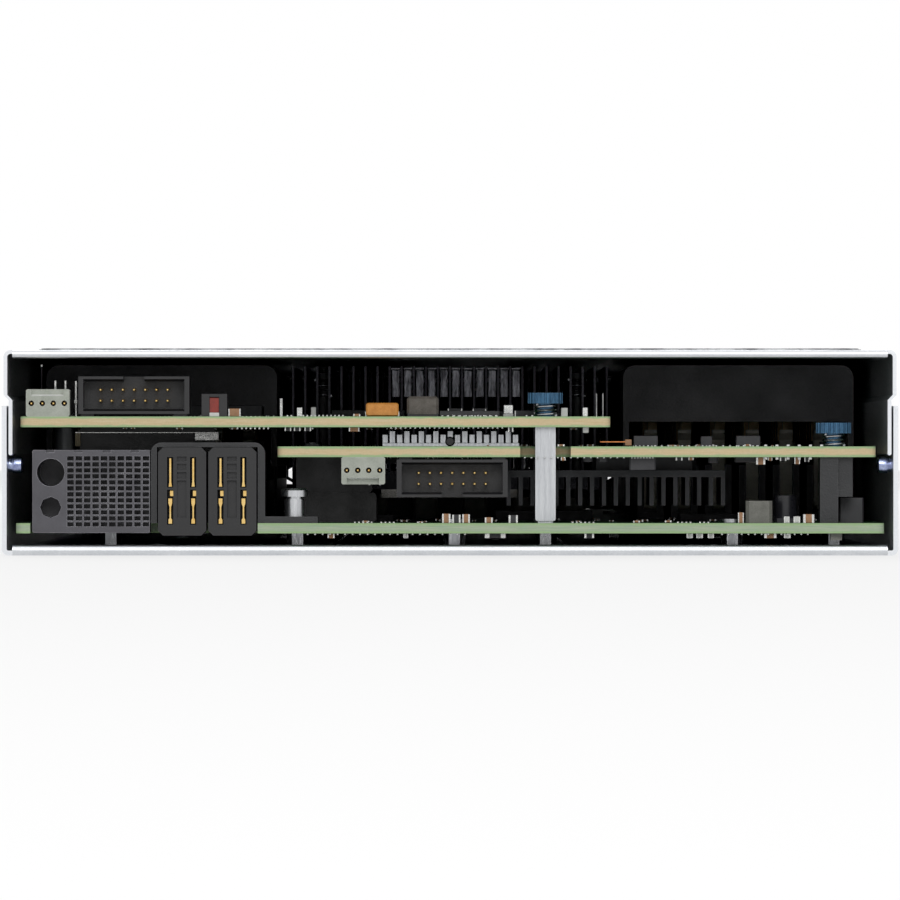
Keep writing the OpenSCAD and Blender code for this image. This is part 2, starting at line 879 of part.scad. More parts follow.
// Knurled head over a sprung shoulder, with its shank below the card
module thumbscrew(x, card_z) {
  card_upper = card_z + card_t;
  knurl_r = 0.28;
  translate([x, thumb_y, 0]) {
    difference() {
      along_z(card_upper + thumb_lift, card_upper + thumb_lift + thumb_h)
        difference() {
          circle(d = thumb_d);
          for (i = [0:thumb_knurls - 1])
            rotate(i * 360 / thumb_knurls)
              translate([thumb_d / 2, 0])
                circle(r = knurl_r, $fn = 16);
        }
      // screwdriver slot
      span([-thumb_d, thumb_d], [-0.5, 0.5],
        [card_upper + thumb_lift + thumb_h - 0.8, card_upper + thumb_lift + thumb_h + 1]);
    }
    translate([0, 0, card_z + slack])
      cylinder(h = card_t + thumb_lift, d = shoulder_d);
    translate([0, 0, card_z - thumb_depth + 2])
      cylinder(h = thumb_depth, d = thumb_shank_d);
  }
}

module upper_thumbscrew() {
  color("steelblue")
    thumbscrew(post_x, upper_z);
}

module lower_thumbscrew() {
  color("steelblue")
    thumbscrew(support_x, lower_z);
}

module thumbscrew_springs() {
  pitch = (thumb_lift - spring_wire_d) / (spring_turns - 1);
  color("lightsteelblue")
    for (s = [[post_x, upper_top], [support_x, lower_top]])
      translate([s[0], thumb_y, s[1] + spring_wire_d / 2])
        for (i = [0:spring_turns - 1])
          translate([0, 0, i * pitch])
            rotate_extrude()
              translate([spring_mean_d / 2, 0])
                circle(d = spring_wire_d - 0.05, $fn = 24);
}

// One mating pair of board-to-board connectors: receptacle below, plug above
module card_connector(x, y, z1) {
  split_z = board_top + (z1 - board_top) * 0.45;
  along_y(y[0], y[1])
    chamfered(x, [board_top, split_z], 0.5);
  along_y(y[0] + 1, y[1] - 1)
    chamfered([x[0] + 1, x[1] - 1], [split_z, z1], 0.5);
}

module card_connectors() {
  color("#242529") {
    card_connector([signal_x + 8.5, signal_x + 41.6], [rear_y + 30, rear_y + 41], upper_z);
    card_connector([lower_x0 + 2.7, lower_x0 + 22.2], [rear_y + 36, rear_y + 46], lower_z);
  }
}

// Shrouded header lying on z = 0, its mouth towards -Y
module box_header() {
  body = [-box_w / 2, box_w / 2];
  z = [box_foot_h, box_foot_h + box_h];
  difference() {
    union() {
      span(body, [0, box_l], z);
      for (side = [-1, 1])
        span([side * (box_w / 2 - 2) - 1.5, side * (box_w / 2 - 2) + 1.5],
          [1, box_l - 1], [0, box_foot_h + eps]);
    }
    along_y(-1, box_l - 2.5)
      chamfered([body[0] + box_wall, body[1] - box_wall],
        [z[0] + box_wall, z[1] - box_wall], 0.4);
    // polarising gap in the outer wall
    span([-2.4, 2.4], [-1, box_l - 2.5], [z[1] - box_wall - 1, z[1] + 1]);
    // bevelled mouth
    along_x(body[0] + box_wall, body[1] - box_wall)
      polygon([[-eps, z[0] + box_wall - 0.5], [1.2, z[0] + box_wall + eps],
        [1.2, z[1] - box_wall - eps], [-eps, z[1] - box_wall + 0.5]]);
  }
}

// Four-pin wire header lying on z = 0, its mouth towards -Y
module wire_header() {
  difference() {
    along_y(0, white_l)
      difference() {
        chamfered([-white_w / 2, white_w / 2], [0, white_h], 0.3);
        for (i = [0:white_pins - 1])
          translate([(i - (white_pins - 1) / 2) * white_pitch, white_row])
            circle(d = 1.3, $fn = 16);
      }
    // sloping ledge between the side posts
    along_x(-white_w / 2 + 1.2, white_w / 2 - 1.4)
      polygon([[-1, white_h - 1.7], [1.4, white_h - 1.2], [1.4, white_h + 1], [-1, white_h + 1]]);
  }
}

// Places a header on top of the upper card (up = 1) or under the lower card (up = 0)
module on_card(x, up) {
  translate([x, card_rear_y, up == 1 ? upper_top : lower_z])
    mirror([0, 0, 1 - up])
      children();
}

module box_headers() {
  color("#17181b") {
    on_card(upper_box_x, 1)
      box_header();
    on_card(lower_box_x, 0)
      box_header();
  }
}

module pin_headers() {
  color("ivory") {
    on_card(upper_white_x, 1)
      wire_header();
    on_card(lower_white_x, 0)
      wire_header();
  }
}

// Square pins in rows: count pins at pitch, at the heights zs
module pin_rows(count, pitch, zs, y) {
  for (i = [0:count - 1], z = zs)
    span([(i - (count - 1) / 2) * pitch - pin_t / 2, (i - (count - 1) / 2) * pitch + pin_t / 2],
      y, [z - pin_t / 2, z + pin_t / 2]);
}

module header_pins() {
  color("gold") {
    on_card(upper_box_x, 1)
      pin_rows(box_pins, pin_pitch, box_rows, [1, box_l - 2.5]);
    on_card(lower_box_x, 0)
      pin_rows(box_pins, pin_pitch, box_rows, [1, box_l - 2.5]);
    on_card(upper_white_x, 1)
      pin_rows(white_pins, white_pitch, [white_row], [0.4, white_l - 0.5]);
    on_card(lower_white_x, 0)
      pin_rows(white_pins, white_pitch, [white_row], [0.4, white_l - 0.5]);
  }
}

// Parts on top of the upper card: [distance from its left edge, setback, width, length, height]
function upper_parts() = [
  [41.1, 1, 5.9, 8, 5.2], [47.2, 2, 2.8, 4, 1.8], [78.5, 1.5, 7.4, 4.3, 3.1],
  [87.8, 3, 7.2, 7.2, 4.6], [97.1, 16, 3.3, 5, 1.9], [102.8, 16, 3.1, 5, 1.9],
  [95.2, 5, 13.7, 9, 1.2], [109.8, 15, 2.3, 3, 2.7], [30, 40, 24, 24, 2.6],
  [70, 50, 17, 17, 1.6], [102, 60, 12, 20, 1.4]
];

module upper_card_parts() {
  color("#3a3833")
    for (p = upper_parts())
      translate([upper_x0 + p[0] + p[2] / 2, card_rear_y + p[1] + p[3] / 2, upper_top])
        along_z(0, p[4])
          chamfered([-p[2] / 2, p[2] / 2], [-p[3] / 2, p[3] / 2], 0.4);
}

// Parts under the lower card, measured the same way
function lower_parts() = [
  [69.6, 3, 2, 4, 1.1], [73, 3, 2, 4, 1.1], [80, 2, 6, 5, 2.9],
  [98, 4, 2.2, 3, 1.4], [104, 5, 5, 5, 1.2], [20, 60, 18, 18, 1.6]
];

module lower_card_parts() {
  chip_w = 24;
  color("#3a3833") {
    for (p = lower_parts())
      translate([lower_x0 + p[0] + p[2] / 2, card_rear_y + p[1] + p[3] / 2, lower_z])
        along_z(-p[4], 0)
          chamfered([-p[2] / 2, p[2] / 2], [-p[3] / 2, p[3] / 2], 0.3);
    // adapter chip above the hanging heatsink
    translate([lower_x0 + 83.8, card_rear_y + 36, lower_z])
      along_z(-3.1, 0)
        chamfered([-chip_w / 2, chip_w / 2], [-chip_w / 2, chip_w / 2], 1);
  }
}

module card_heatsink() {
  w = 50;
  l = 36;
  fins = 19;
  x0 = lower_x0 + 77.2 - w / 2;
  y0 = card_rear_y + 36 - l / 2;
  base_z = lower_z - 3.1 - 1.5;
  fin_z = base_z - 6.5;
  pin_in = 4.4;
  color("#1a1b1d")
    difference() {
      union() {
        span([x0, x0 + w], [y0, y0 + l], [base_z, base_z + 1.5]);
        along_y(y0, y0 + l)
          for (i = [0:fins - 1])
            translate([x0 + i * (w - 0.9) / (fins - 1), fin_z])
              square([0.9, base_z - fin_z + eps]);
      }
      // two corners are free of fins for the fixing pins
      for (c = [[x0 + w - pin_in, y0 + pin_in], [x0 + pin_in, y0 + l - pin_in]])
        translate([c[0], c[1], fin_z - 1])
          cylinder(h = base_z - fin_z + 1, r = 3.4);
    }
}

// ---------- processors and heatsinks ----------

module cpu_sockets() {
  color("#2b2c30")
    for (y = [bank_rear_y, bank_front_y])
      translate([0, y, board_top])
        difference() {
          along_z(0, 4.8)
            rounded([-cpu_w / 2 - 4, cpu_w / 2 + 4], [-cpu_l / 2 - 4, cpu_l / 2 + 4], 2);
          along_z(3, 6)
            rounded([-cpu_w / 2 - 0.2, cpu_w / 2 + 0.2],
              [-cpu_l / 2 - 0.2, cpu_l / 2 + 0.2], 0.6);
        }
}

module processors() {
  color("lightgray")
    for (y = [bank_rear_y, bank_front_y])
      translate([0, y, board_top]) {
        along_z(3, 4.7)
          rounded([-cpu_w / 2, cpu_w / 2], [-cpu_l / 2, cpu_l / 2], 0.5);
        along_z(4.7 - eps, 7)
          rounded([-lid_w / 2, lid_w / 2], [-lid_w / 2, lid_w / 2], 2);
      }
}

module heatsink(y) {
  fin_top = sink_top;
  base_top = cpu_lid_top + sink_base_t;
  translate([0, y, 0])
    difference() {
      union() {
        along_z(cpu_lid_top, base_top)
          rounded([-sink_w / 2, sink_w / 2], [-sink_l / 2, sink_l / 2], 1.5);
        along_y(-sink_l / 2, sink_l / 2)
          for (i = [0:sink_fins - 1])
            translate([-sink_w / 2 + i * sink_pitch, base_top - eps])
              square([fin_t, fin_top - base_top + eps]);
      }
      for (i = [-1, 1], j = [-1, 1])
        translate([i * sink_screw_x, j * sink_screw_y, 0]) {
          cylinder(h = base_top + 1, d = sink_screw_d + 2 * turn_fit);
          translate([0, 0, base_top])
            cylinder(h = fin_top, r = 4.6);
        }
    }
}

module rear_heatsink() {
  color("silver")
    heatsink(bank_rear_y);
}

module front_heatsink() {
  color("silver")
    heatsink(bank_front_y);
}

module heatsink_screws() {
  base_top = cpu_lid_top + sink_base_t;
  color("#222326")
    for (y = [bank_rear_y, bank_front_y], i = [-1, 1], j = [-1, 1])
      translate([i * sink_screw_x, y + j * sink_screw_y, 0]) {
        translate([0, 0, board_top])
          cylinder(h = base_top - board_top + eps, d = sink_screw_d);
        translate([0, 0, base_top])
          cylinder(h = sink_screw_top - base_top - eps, d = 2.6);
        translate([0, 0, base_top])
          cylinder(h = sink_screw_top - 5.9 - base_top, d = 6.6);
        translate([0, 0, sink_screw_top - 1.3])
          cylinder(h = 1.3, d = 6.6);
      }
}

// ---------- memory ----------

function slot_xs() = [
  for (side = [-1, 1], i = [0:bank_slots - 1]) side * (bank_first_x + i * slot_pitch)
];

module memory_socket() {
  end = socket_l / 2;
  difference() {
    along_x(-socket_w / 2, socket_w / 2)
      polygon([
        [-end, 0], [end, 0], [end, tower_h], [end - tower_l, tower_h],
        [end - tower_l, socket_h], [-end + tower_l, socket_h],
        [-end + tower_l, tower_h], [-end, tower_h]
      ]);
    // slot for the module's edge
    span([-module_t / 2 - 0.1, module_t / 2 + 0.1],
      [-module_l / 2 - 0.1, module_l / 2 + 0.1], [socket_seat, tower_h + 1]);
    for (side = [-1, 1]) {
      // fork for the latch
      span([-latch_w / 2 - 0.15, latch_w / 2 + 0.15],
        side > 0 ? [end - 4.4, end + 1] : [-end - 1, -end + 4.4], [1.4, tower_h + 1]);
      translate([0, side * (end - latch_pin_in), latch_pin_z - board_top])
        rotate([0, 90, 0])
          cylinder(h = socket_w - 1, d = latch_pin_d + 2 * turn_fit, center = true);
    }
  }
}

module memory_sockets() {
  color("#2a2b30")
    for (x = slot_xs(), y = [bank_rear_y, bank_front_y])
      translate([x, y, board_top])
        memory_socket();
}

module memory_module() {
  end = module_l / 2;
  z0 = socket_seat;
  chip_w = 8;
  pitch = (module_l - 16) / (module_chips - 1);
  along_x(-module_t / 2, module_t / 2)
    difference() {
      translate([-end, z0])
        square([module_l, module_h]);
      // latch notches and keying notch
      for (side = [-1, 1])
        translate([side * end, latch_hook_z - board_top + 0.3])
          square([5, 3.2], center = true);
      translate([7, z0])
        square([1.6, 6], center = true);
    }
  along_x(-module_chip_t / 2, module_chip_t / 2)
    for (i = [0:module_chips - 1])
      translate([-end + 8 - chip_w / 2 + i * pitch, z0 + module_h - 15])
        square([chip_w, 11]);
}

module memory_modules() {
  color("darkgreen")
    for (x = slot_xs(), y = [bank_rear_y, bank_front_y])
      translate([x, y, board_top])
        memory_module();
}

// Latch for the +Y end of a socket, its pin on the X axis
module latch() {
  hook_z = latch_hook_z - latch_pin_z;
  top_z = latch_top_z - latch_pin_z;
  gap = socket_l / 2 - latch_pin_in - module_l / 2;
  along_x(-latch_w / 2, latch_w / 2) {
    circle(d = 3.6);
    polygon([
      [1.6, 0], [1.9, hook_z - 2], [2.4, hook_z + 1], [4.2, top_z - 0.8],
      [4.2, top_z], [0.4, top_z], [-gap + 0.4, hook_z + 1.6], [-gap - 1.8, hook_z + 0.7],
      [-gap - 1.8, hook_z - 0.7], [-gap + 0.4, hook_z - 1.3], [-gap + 0.4, 6], [-1.6, 2]
    ]);
  }
  rotate([0, 90, 0])
    cylinder(h = socket_w - 1.4, d = latch_pin_d, center = true);
}

// Latches of both banks at one end: bank is the banks' centre, end is -1 rear or 1 front
module latch_row(bank, end) {
  color("ivory")
    for (x = slot_xs())
      translate([x, bank + end * (socket_l / 2 - latch_pin_in), latch_pin_z])
        mirror([0, end < 0 ? 1 : 0, 0])
          latch();
}

module rear_bank_rear_latches() {
  latch_row(bank_rear_y, -1);
}

module rear_bank_front_latches() {
  latch_row(bank_rear_y, 1);
}

module front_bank_rear_latches() {
  latch_row(bank_front_y, -1);
}

module front_bank_front_latches() {
  latch_row(bank_front_y, 1);
}

// Moulded hood over the rear memory bank on the +X side
module air_baffle() {
  inner_z = 20;
  along_y(baffle_rear_y, baffle_front_y)
    difference() {
      rounded([baffle_in_x, baffle_out_x], [board_top - 10, baffle_top], 3);
      rounded([baffle_in_x + baffle_t, baffle_out_x - baffle_t],
        [board_top - 12, baffle_top - baffle_t], 2);
      translate([baffle_in_x - 1, board_top - 11])
        square([baffle_out_x - baffle_in_x + 2, 11]);
      translate([baffle_in_x - 1, 0])
        square([5, inner_z]);
    }
  // rear lip down to the tops of the latches
  along_y(baffle_rear_y, baffle_rear_y + baffle_t)
    difference() {
      rounded([baffle_in_x, baffle_out_x], [board_top - 10, baffle_top], 3);
      translate([baffle_in_x - 1, board_top - 11])
        square([baffle_out_x, baffle_lip_z - board_top + 11]);
    }
  // ribs under the roof
  for (i = [1:3])
    span([baffle_in_x + 1, baffle_out_x - 1],
      [baffle_rear_y + i * 38, baffle_rear_y + i * 38 + 1.2],
      [board_top + socket_seat + module_h + slack, baffle_top - baffle_t + eps]);
}

module left_air_baffle() {
  color("#3a3b3e")
    mirror([1, 0, 0])
      air_baffle();
}

module right_air_baffle() {
  color("#3a3b3e")
    air_baffle();
}

// ---------- drives ----------

module drive_cage() {
  top = bay_floor + bay_h;
  wall_x = [cage_x0, cage_x0 + cage_t + bay_w, cage_x1 - cage_t];
  wall_t = [cage_t, bay_gap, cage_t];
  color("silver")
    difference() {
      along_y(cage_rear_y, cage_front_y) {
        translate([cage_x0, bay_floor - cage_t])
          square([cage_x1 - cage_x0, cage_t]);
        translate([cage_x0, top])
          square([cage_x1 - cage_x0, cage_t]);
        for (i = [0:2])
          translate([wall_x[i], bay_floor - eps])
            square([wall_t[i], bay_h + 2 * eps]);
        for (x = [cage_x0, cage_x1 - cage_t])
          translate([x, tray_t])
            square([cage_t, bay_floor - tray_t]);
        for (x = [cage_x0, cage_x1 - cage_foot_w])
          translate([x, tray_t])
            square([cage_foot_w, cage_t]);
      }
      // the legs stay clear of the ejector's claw
      span([cage_x0 - 1, cage_x1 + 1], [cage_front_y - claw_room, cage_front_y + 1],
        [tray_t - 1, bay_floor - cage_t]);
      // cooling windows in the roof and the floor over each bay
      for (x = bay_x, i = [0, 1])
        along_z(bay_floor - cage_t - 1, top + cage_t + 1)
          rounded([x - 27, x + 27],
            [cage_rear_y + 12 + i * 46, cage_rear_y + 48 + i * 46], 5);
    }
}

module drive_backplane() {
  color("seagreen")
    along_y(backplane_y, backplane_y + backplane_t)
      difference() {
        rounded([cage_x0 + 1, cage_x1 - 1], [board_top, bay_floor + bay_h], 1.5);
        // air openings below the drive connectors
        for (x = bay_x, i = [-1, 1])
          rounded([x + i * 17 - 13, x + i * 17 + 13], [board_top + 7, bay_floor - 2], 3);
      }
}

module backplane_connectors() {
  plug_w = 40;
  color("#1d1e21") {
    for (x = bay_x)
      translate([x, 0, 0])
        difference() {
          along_y(backplane_y + backplane_t, drive_rear_y - slack)
            chamfered([-plug_w / 2, plug_w / 2], [drive_z + 1.5, drive_z + 7.5], 0.6);
          along_y(drive_rear_y - 3, drive_rear_y)
            translate([-plug_w / 2 + 3, drive_z + 3.4])
              square([plug_w - 6, 2.2]);
        }
    // board edge connector that holds the backplane upright
    difference() {
      span([bay_x[0] - 20, bay_x[1] + 20], [backplane_y - 5, backplane_y],
        [board_top, board_top + 6]);
      span([bay_x[0] - 22, bay_x[1] + 22], [backplane_y - 1.5, backplane_y + 1],
        [board_top + 4, board_top + 8]);
    }
  }
}

// Sled centred on x = 0: floor, rails, fascia, and the pin of its lever
module sled() {
  rail_y = drive_rear_y + 2;
  rail_h = 11;
  w = sled_w / 2;
  pin_x = -w + sled_pin_in;
  pin_y = fascia_front_y - sled_hub_r - 0.2;
  lever_z0 = sled_z + (sled_h - sled_lever_h) / 2;
  button_x = w - sled_button_in;
  difference() {
    union() {
      // floor and both rails
      along_y(rail_y, fascia_y + eps)
        polygon([
          [-w, sled_z], [w, sled_z], [w, sled_z + rail_h],
          [drive_w / 2 + 0.15, sled_z + rail_h], [drive_w / 2 + 0.15, drive_z],
          [-drive_w / 2 - 0.15, drive_z], [-drive_w / 2 - 0.15, sled_z + rail_h],
          [-w, sled_z + rail_h]
        ]);
      along_y(fascia_y, fascia_y + fascia_t)
        rounded([-w, w], [sled_z, sled_z + sled_h], 1);
      // block round the release button
      along_y(fascia_y + fascia_t - eps, fascia_front_y)
        rounded([button_x - 6.2, w], [sled_z, sled_z + sled_h], 1);
      // upper and lower rims, which carry the lever's pin
      for (z = [[sled_z, lever_z0 - 0.2], [lever_z0 + sled_lever_h + 0.2, sled_z + sled_h]])
        span([-w, button_x - 6], [fascia_y + fascia_t - eps, fascia_front_y], z);
      translate([pin_x, pin_y, sled_z + 0.5])
        cylinder(h = sled_h - 1, d = sled_pin_d);
    }
    // window in the floor
    along_z(sled_z - 1, drive_z + 1)
      rounded([-26, 26], [rail_y + 16, fascia_y - 16], 5);
    // vents in the fascia, behind the lever
    along_y(fascia_y - 1, fascia_y + fascia_t + 1)
      for (i = [0:9])
        rounded([-26 + i * 4.6, -23.4 + i * 4.6],
          [sled_z + 4.4, sled_z + sled_h - 4.4], 1.25);
    // pocket of the button
    along_y(fascia_y + 1.4, fascia_front_y + 1)
      rounded([button_x - sled_button[0] / 2 - 0.25, button_x + sled_button[0] / 2 + 0.25],
        [sled_z + sled_h / 2 - sled_button[1] / 2 - 0.25,
          sled_z + sled_h / 2 + sled_button[1] / 2 + 0.25], 1);
    // screw holes in the rails
    for (y = [drive_rear_y + 14, drive_rear_y + 90.6])
      translate([0, y, drive_z + 3])
        rotate([0, 90, 0])
          cylinder(h = sled_w + 2, d = 3, center = true);
  }
}

module left_sled() {
  color("#2e2f33")
    translate([bay_x[0], 0, 0])
      sled();
}

module right_sled() {
  color("#2e2f33")
    translate([bay_x[1], 0, 0])
      sled();
}

module drive() {
  difference() {
    along_y(drive_rear_y, drive_front_y)
      rounded([-drive_w / 2, drive_w / 2], [drive_z, drive_z + drive_h], 0.8);
    // raised lid line round the top
    difference() {
      span([-drive_w, drive_w], [drive_rear_y - 1, drive_front_y + 1],
        [drive_z + drive_h - 0.8, drive_z + drive_h + 1]);
      along_z(drive_z, drive_z + drive_h + 2)
        rounded([-drive_w / 2 + 1.5, drive_w / 2 - 1.5],
          [drive_rear_y + 1.5, drive_front_y - 1.5], 3);
    }
    // connector mouth
    span([-21, 21], [drive_rear_y - 1, drive_rear_y + 4], [drive_z + 1, drive_z + 8]);
  }
}

module left_drive() {
  color("lightgray")
    translate([bay_x[0], 0, 0])
      drive();
}

module right_drive() {
  color("lightgray")
    translate([bay_x[1], 0, 0])
      drive();
}

// Lever of a sled, centred like the sled: hub on its pin, perforated arm, finger lip
module sled_lever() {
  w = sled_w / 2;
  pin_x = -w + sled_pin_in;
  pin_y = fascia_front_y - sled_hub_r - 0.2;
  z0 = sled_z + (sled_h - sled_lever_h) / 2;
  arm_t = 1.8;
  arm_y = fascia_front_y - arm_t - 0.2;
  difference() {
    union() {
      translate([pin_x, pin_y, z0])
        cylinder(h = sled_lever_h, r = sled_hub_r);
      span([pin_x, pin_x + sled_lever_w], [arm_y, arm_y + arm_t], [z0, z0 + sled_lever_h]);
      along_z(z0, z0 + sled_lever_h)
        polygon([
          [pin_x + sled_lever_w - 5, arm_y], [pin_x + sled_lever_w, arm_y - 2.4],
          [pin_x + sled_lever_w + 1.4, arm_y - 1.4], [pin_x + sled_lever_w, arm_y + 1]
        ]);
    }
    translate([pin_x, pin_y, z0 - 1])
      cylinder(h = sled_lever_h + 2, d = sled_pin_d + 2 * turn_fit);
    along_y(arm_y - 4, arm_y + arm_t + 1)
      for (i = [0:7])
        rounded([pin_x + 6 + i * 4.6, pin_x + 8.6 + i * 4.6],
          [z0 + 2.4, z0 + sled_lever_h - 2.4], 1.25);
  }
}

module left_sled_lever() {
  color("#3f4146")
    translate([bay_x[0], 0, 0])
      sled_lever();
}

module right_sled_lever() {
  color("#3f4146")
    translate([bay_x[1], 0, 0])
      sled_lever();
}

module sled_release() {
  button_x = sled_w / 2 - sled_button_in;
  z = sled_z + sled_h / 2;
  difference() {
    along_y(fascia_y + 1.4 + button_travel + slack, fascia_front_y + 0.6)
      rounded([button_x - sled_button[0] / 2, button_x + sled_button[0] / 2],
        [z - sled_button[1] / 2, z + sled_button[1] / 2], 0.9);
    for (i = [-2:2])
      span([button_x - 2.4, button_x + 2.4], [fascia_front_y + 0.2, fascia_front_y + 2],
        [z + i * 1.4 - 0.3, z + i * 1.4 + 0.3]);
  }
}

module left_sled_button() {
  color("royalblue")
    translate([bay_x[0], 0, 0])
      sled_release();
}

module right_sled_button() {
  color("royalblue")
    translate([bay_x[1], 0, 0])
      sled_release();
}

// ---------- front ----------

module button_bore(x, d) {
  translate([x, bezel_face_y + 1, button_z])
    rotate([90, 0, 0])
      cylinder(h = bezel_l + 2, d = d);
}

module front_bezel() {
  x = [-half_w + 0.3, half_w - 0.3];
  z = [0, cover_top];
  tube_l = bezel_l - 1;
  vent_z0 = 3.4 + vent_w / 2;
  vent_rows = 4;
  vent_x0 = cage_x0 + 4;
  vent_cols = floor((cage_x1 - 4 - vent_x0) / vent_pitch);
  pocket_z = [lever_z - 0.6, lever_z + lever_h + 0.6];
  color("#2b2c2f")
    difference() {
      union() {
        // face plate with its vents and windows
        along_y(bezel_face_y - bezel_plate, bezel_face_y)
          difference() {
            rounded(x, z, 1.5);
            for (b = bay_x)
              translate([b - sled_w / 2 - slack, sled_z - slack])
                square([sled_w + 2 * slack, sled_h + 2 * slack]);
            for (i = [0:vent_cols - 1], j = [0:vent_rows - 1])
              translate([vent_x0 + (i + 0.5 * (j % 2)) * vent_pitch,
                vent_z0 + j * vent_pitch * 0.9])
                rotate(30)
                  circle(d = vent_w / cos(30), $fn = 6);
            translate([console_x - slack, board_top + 0.6])
              square([console_w + 2 * slack, console_h + 2 * slack]);
          }
        // rim
        along_y(bezel_back_y, bezel_face_y - bezel_plate + eps)
          difference() {
            rounded(x, z, 1.5);
            rounded([x[0] + bezel_wall, x[1] - bezel_wall],
              [z[0] + 1.2, z[1] - bezel_wall], 0.8);
          }
        // tongues inside the tray walls
        for (side = [-1, 1])
          span(side > 0 ? [wall_in_x - 1.7, wall_in_x - 0.1]
              : [-wall_in_x + 0.1, -wall_in_x + 1.7],
            [bezel_back_y - 12, bezel_back_y + 2], [15, 21.5]);
        // guides of both buttons
        translate([power_button_x, bezel_face_y - 1, button_z])
          rotate([90, 0, 0])
            cylinder(h = tube_l, d = power_button_d + 4);
        translate([locator_button_x, bezel_face_y - 1, button_z])
          rotate([90, 0, 0])
            cylinder(h = tube_l, d = locator_button_d + 4);
        // boss of the ejector screw
        translate([lever_screw_x, bezel_face_y - 1, lever_screw_z])
          rotate([90, 0, 0])
            cylinder(h = bezel_l - 2, d = lever_screw_d + 5);
        // ears of the ejector lever
        for (e = [[lever_z - slack - ear_t, lever_z - slack],
            [lever_z + lever_h + slack, lever_z + lever_h + slack + ear_t]])
          along_z(e[0], e[1])
            rounded([lever_pin_x - 2.6, lever_pin_x + 2.6],
              [bezel_face_y - 1.5, lever_pin_y + 2.4], 1);
      }
      button_bore(power_button_x, power_button_d + 2 * slack);
      button_bore(locator_button_x, locator_button_d + 2 * slack);
      for (pz = pipe_zs)
        translate([pipe_x, bezel_face_y + 1, pz])
          rotate([90, 0, 0])
            cylinder(h = bezel_plate + 2, d = pipe_d);
      // pinhole of the reset switch
      translate([locator_button_x, bezel_face_y + 1, button_z - 9])
        rotate([90, 0, 0])
          cylinder(h = bezel_plate + 2, d = 1.6);
      translate([lever_screw_x, bezel_face_y + 1, lever_screw_z])
        rotate([90, 0, 0])
          cylinder(h = bezel_l + 2, d = lever_screw_d + 1);
      // pocket for the claw of the ejector lever
      span([-half_w - 1, lever_pin_x + 4.4], [bezel_back_y - 1, bezel_face_y + 1], pocket_z);
    }
  color("silver")
    translate([lever_pin_x, lever_pin_y, lever_z - slack - ear_t / 2])
      cylinder(h = lever_h + 2 * slack + ear_t, d = lever_pin_d);
}

module front_panel_board() {
  y1 = panel_board_y + panel_board_t;
  color("seagreen") {
    along_y(panel_board_y, y1)
      rounded([board_arm_x + 1.5, half_w - 5], [22, 43], 1);
    // switches behind the buttons
    for (x = [power_button_x, locator_button_x])
      span([x - 2.2, x + 2.2], [y1 - eps, y1 + 1.6], [button_z - 2.2, button_z + 2.2]);
    // foot that stands on the motherboard
    span([panel_foot_x, panel_foot_x + 4], [panel_board_y - 3, panel_board_y + eps],
      [board_top, 30]);
  }
}

module console_connector() {
  y0 = bezel_face_y - 16;
  y1 = bezel_face_y + 1.2;
  x = [console_x, console_x + console_w];
  z = [board_top + 0.6 + slack, board_top + 0.6 + slack + console_h];
  color("#26272a")
    difference() {
      union() {
        along_y(y0, y1)
          chamfered(x, z, 1);
        span([x[0] + 1, x[1] - 1], [y0 + 1, board_arm_front_y - 1],
          [board_top, z[0] + 1]);
      }
      along_y(y1 - 7, y1 + 1)
        chamfered([x[0] + 1.8, x[1] - 1.8], [z[0] + 1.6, z[1] - 1.6], 0.8);
    }
}

// Push button in a bezel guide, with a collar behind the guide
module push_button(x, d) {
  guide_back_y = bezel_back_y;
  translate([x, bezel_face_y + 1.2, button_z])
    rotate([90, 0, 0])
      cylinder(h = bezel_l + 1.2 + slack, d = d);
  translate([x, guide_back_y - slack, button_z])
    rotate([90, 0, 0])
      cylinder(h = 0.8, d = d + 2);
}

module power_button() {
  color("whitesmoke")
    push_button(power_button_x, power_button_d);
}

module locator_button() {
  color("royalblue")
    push_button(locator_button_x, locator_button_d);
}

module light_pipes() {
  color("honeydew")
    for (pz = pipe_zs)
      translate([pipe_x, bezel_face_y + 0.3, pz])
        rotate([90, 0, 0])
          cylinder(h = bezel_face_y + 0.3 - panel_board_y - panel_board_t, d = pipe_d);
}

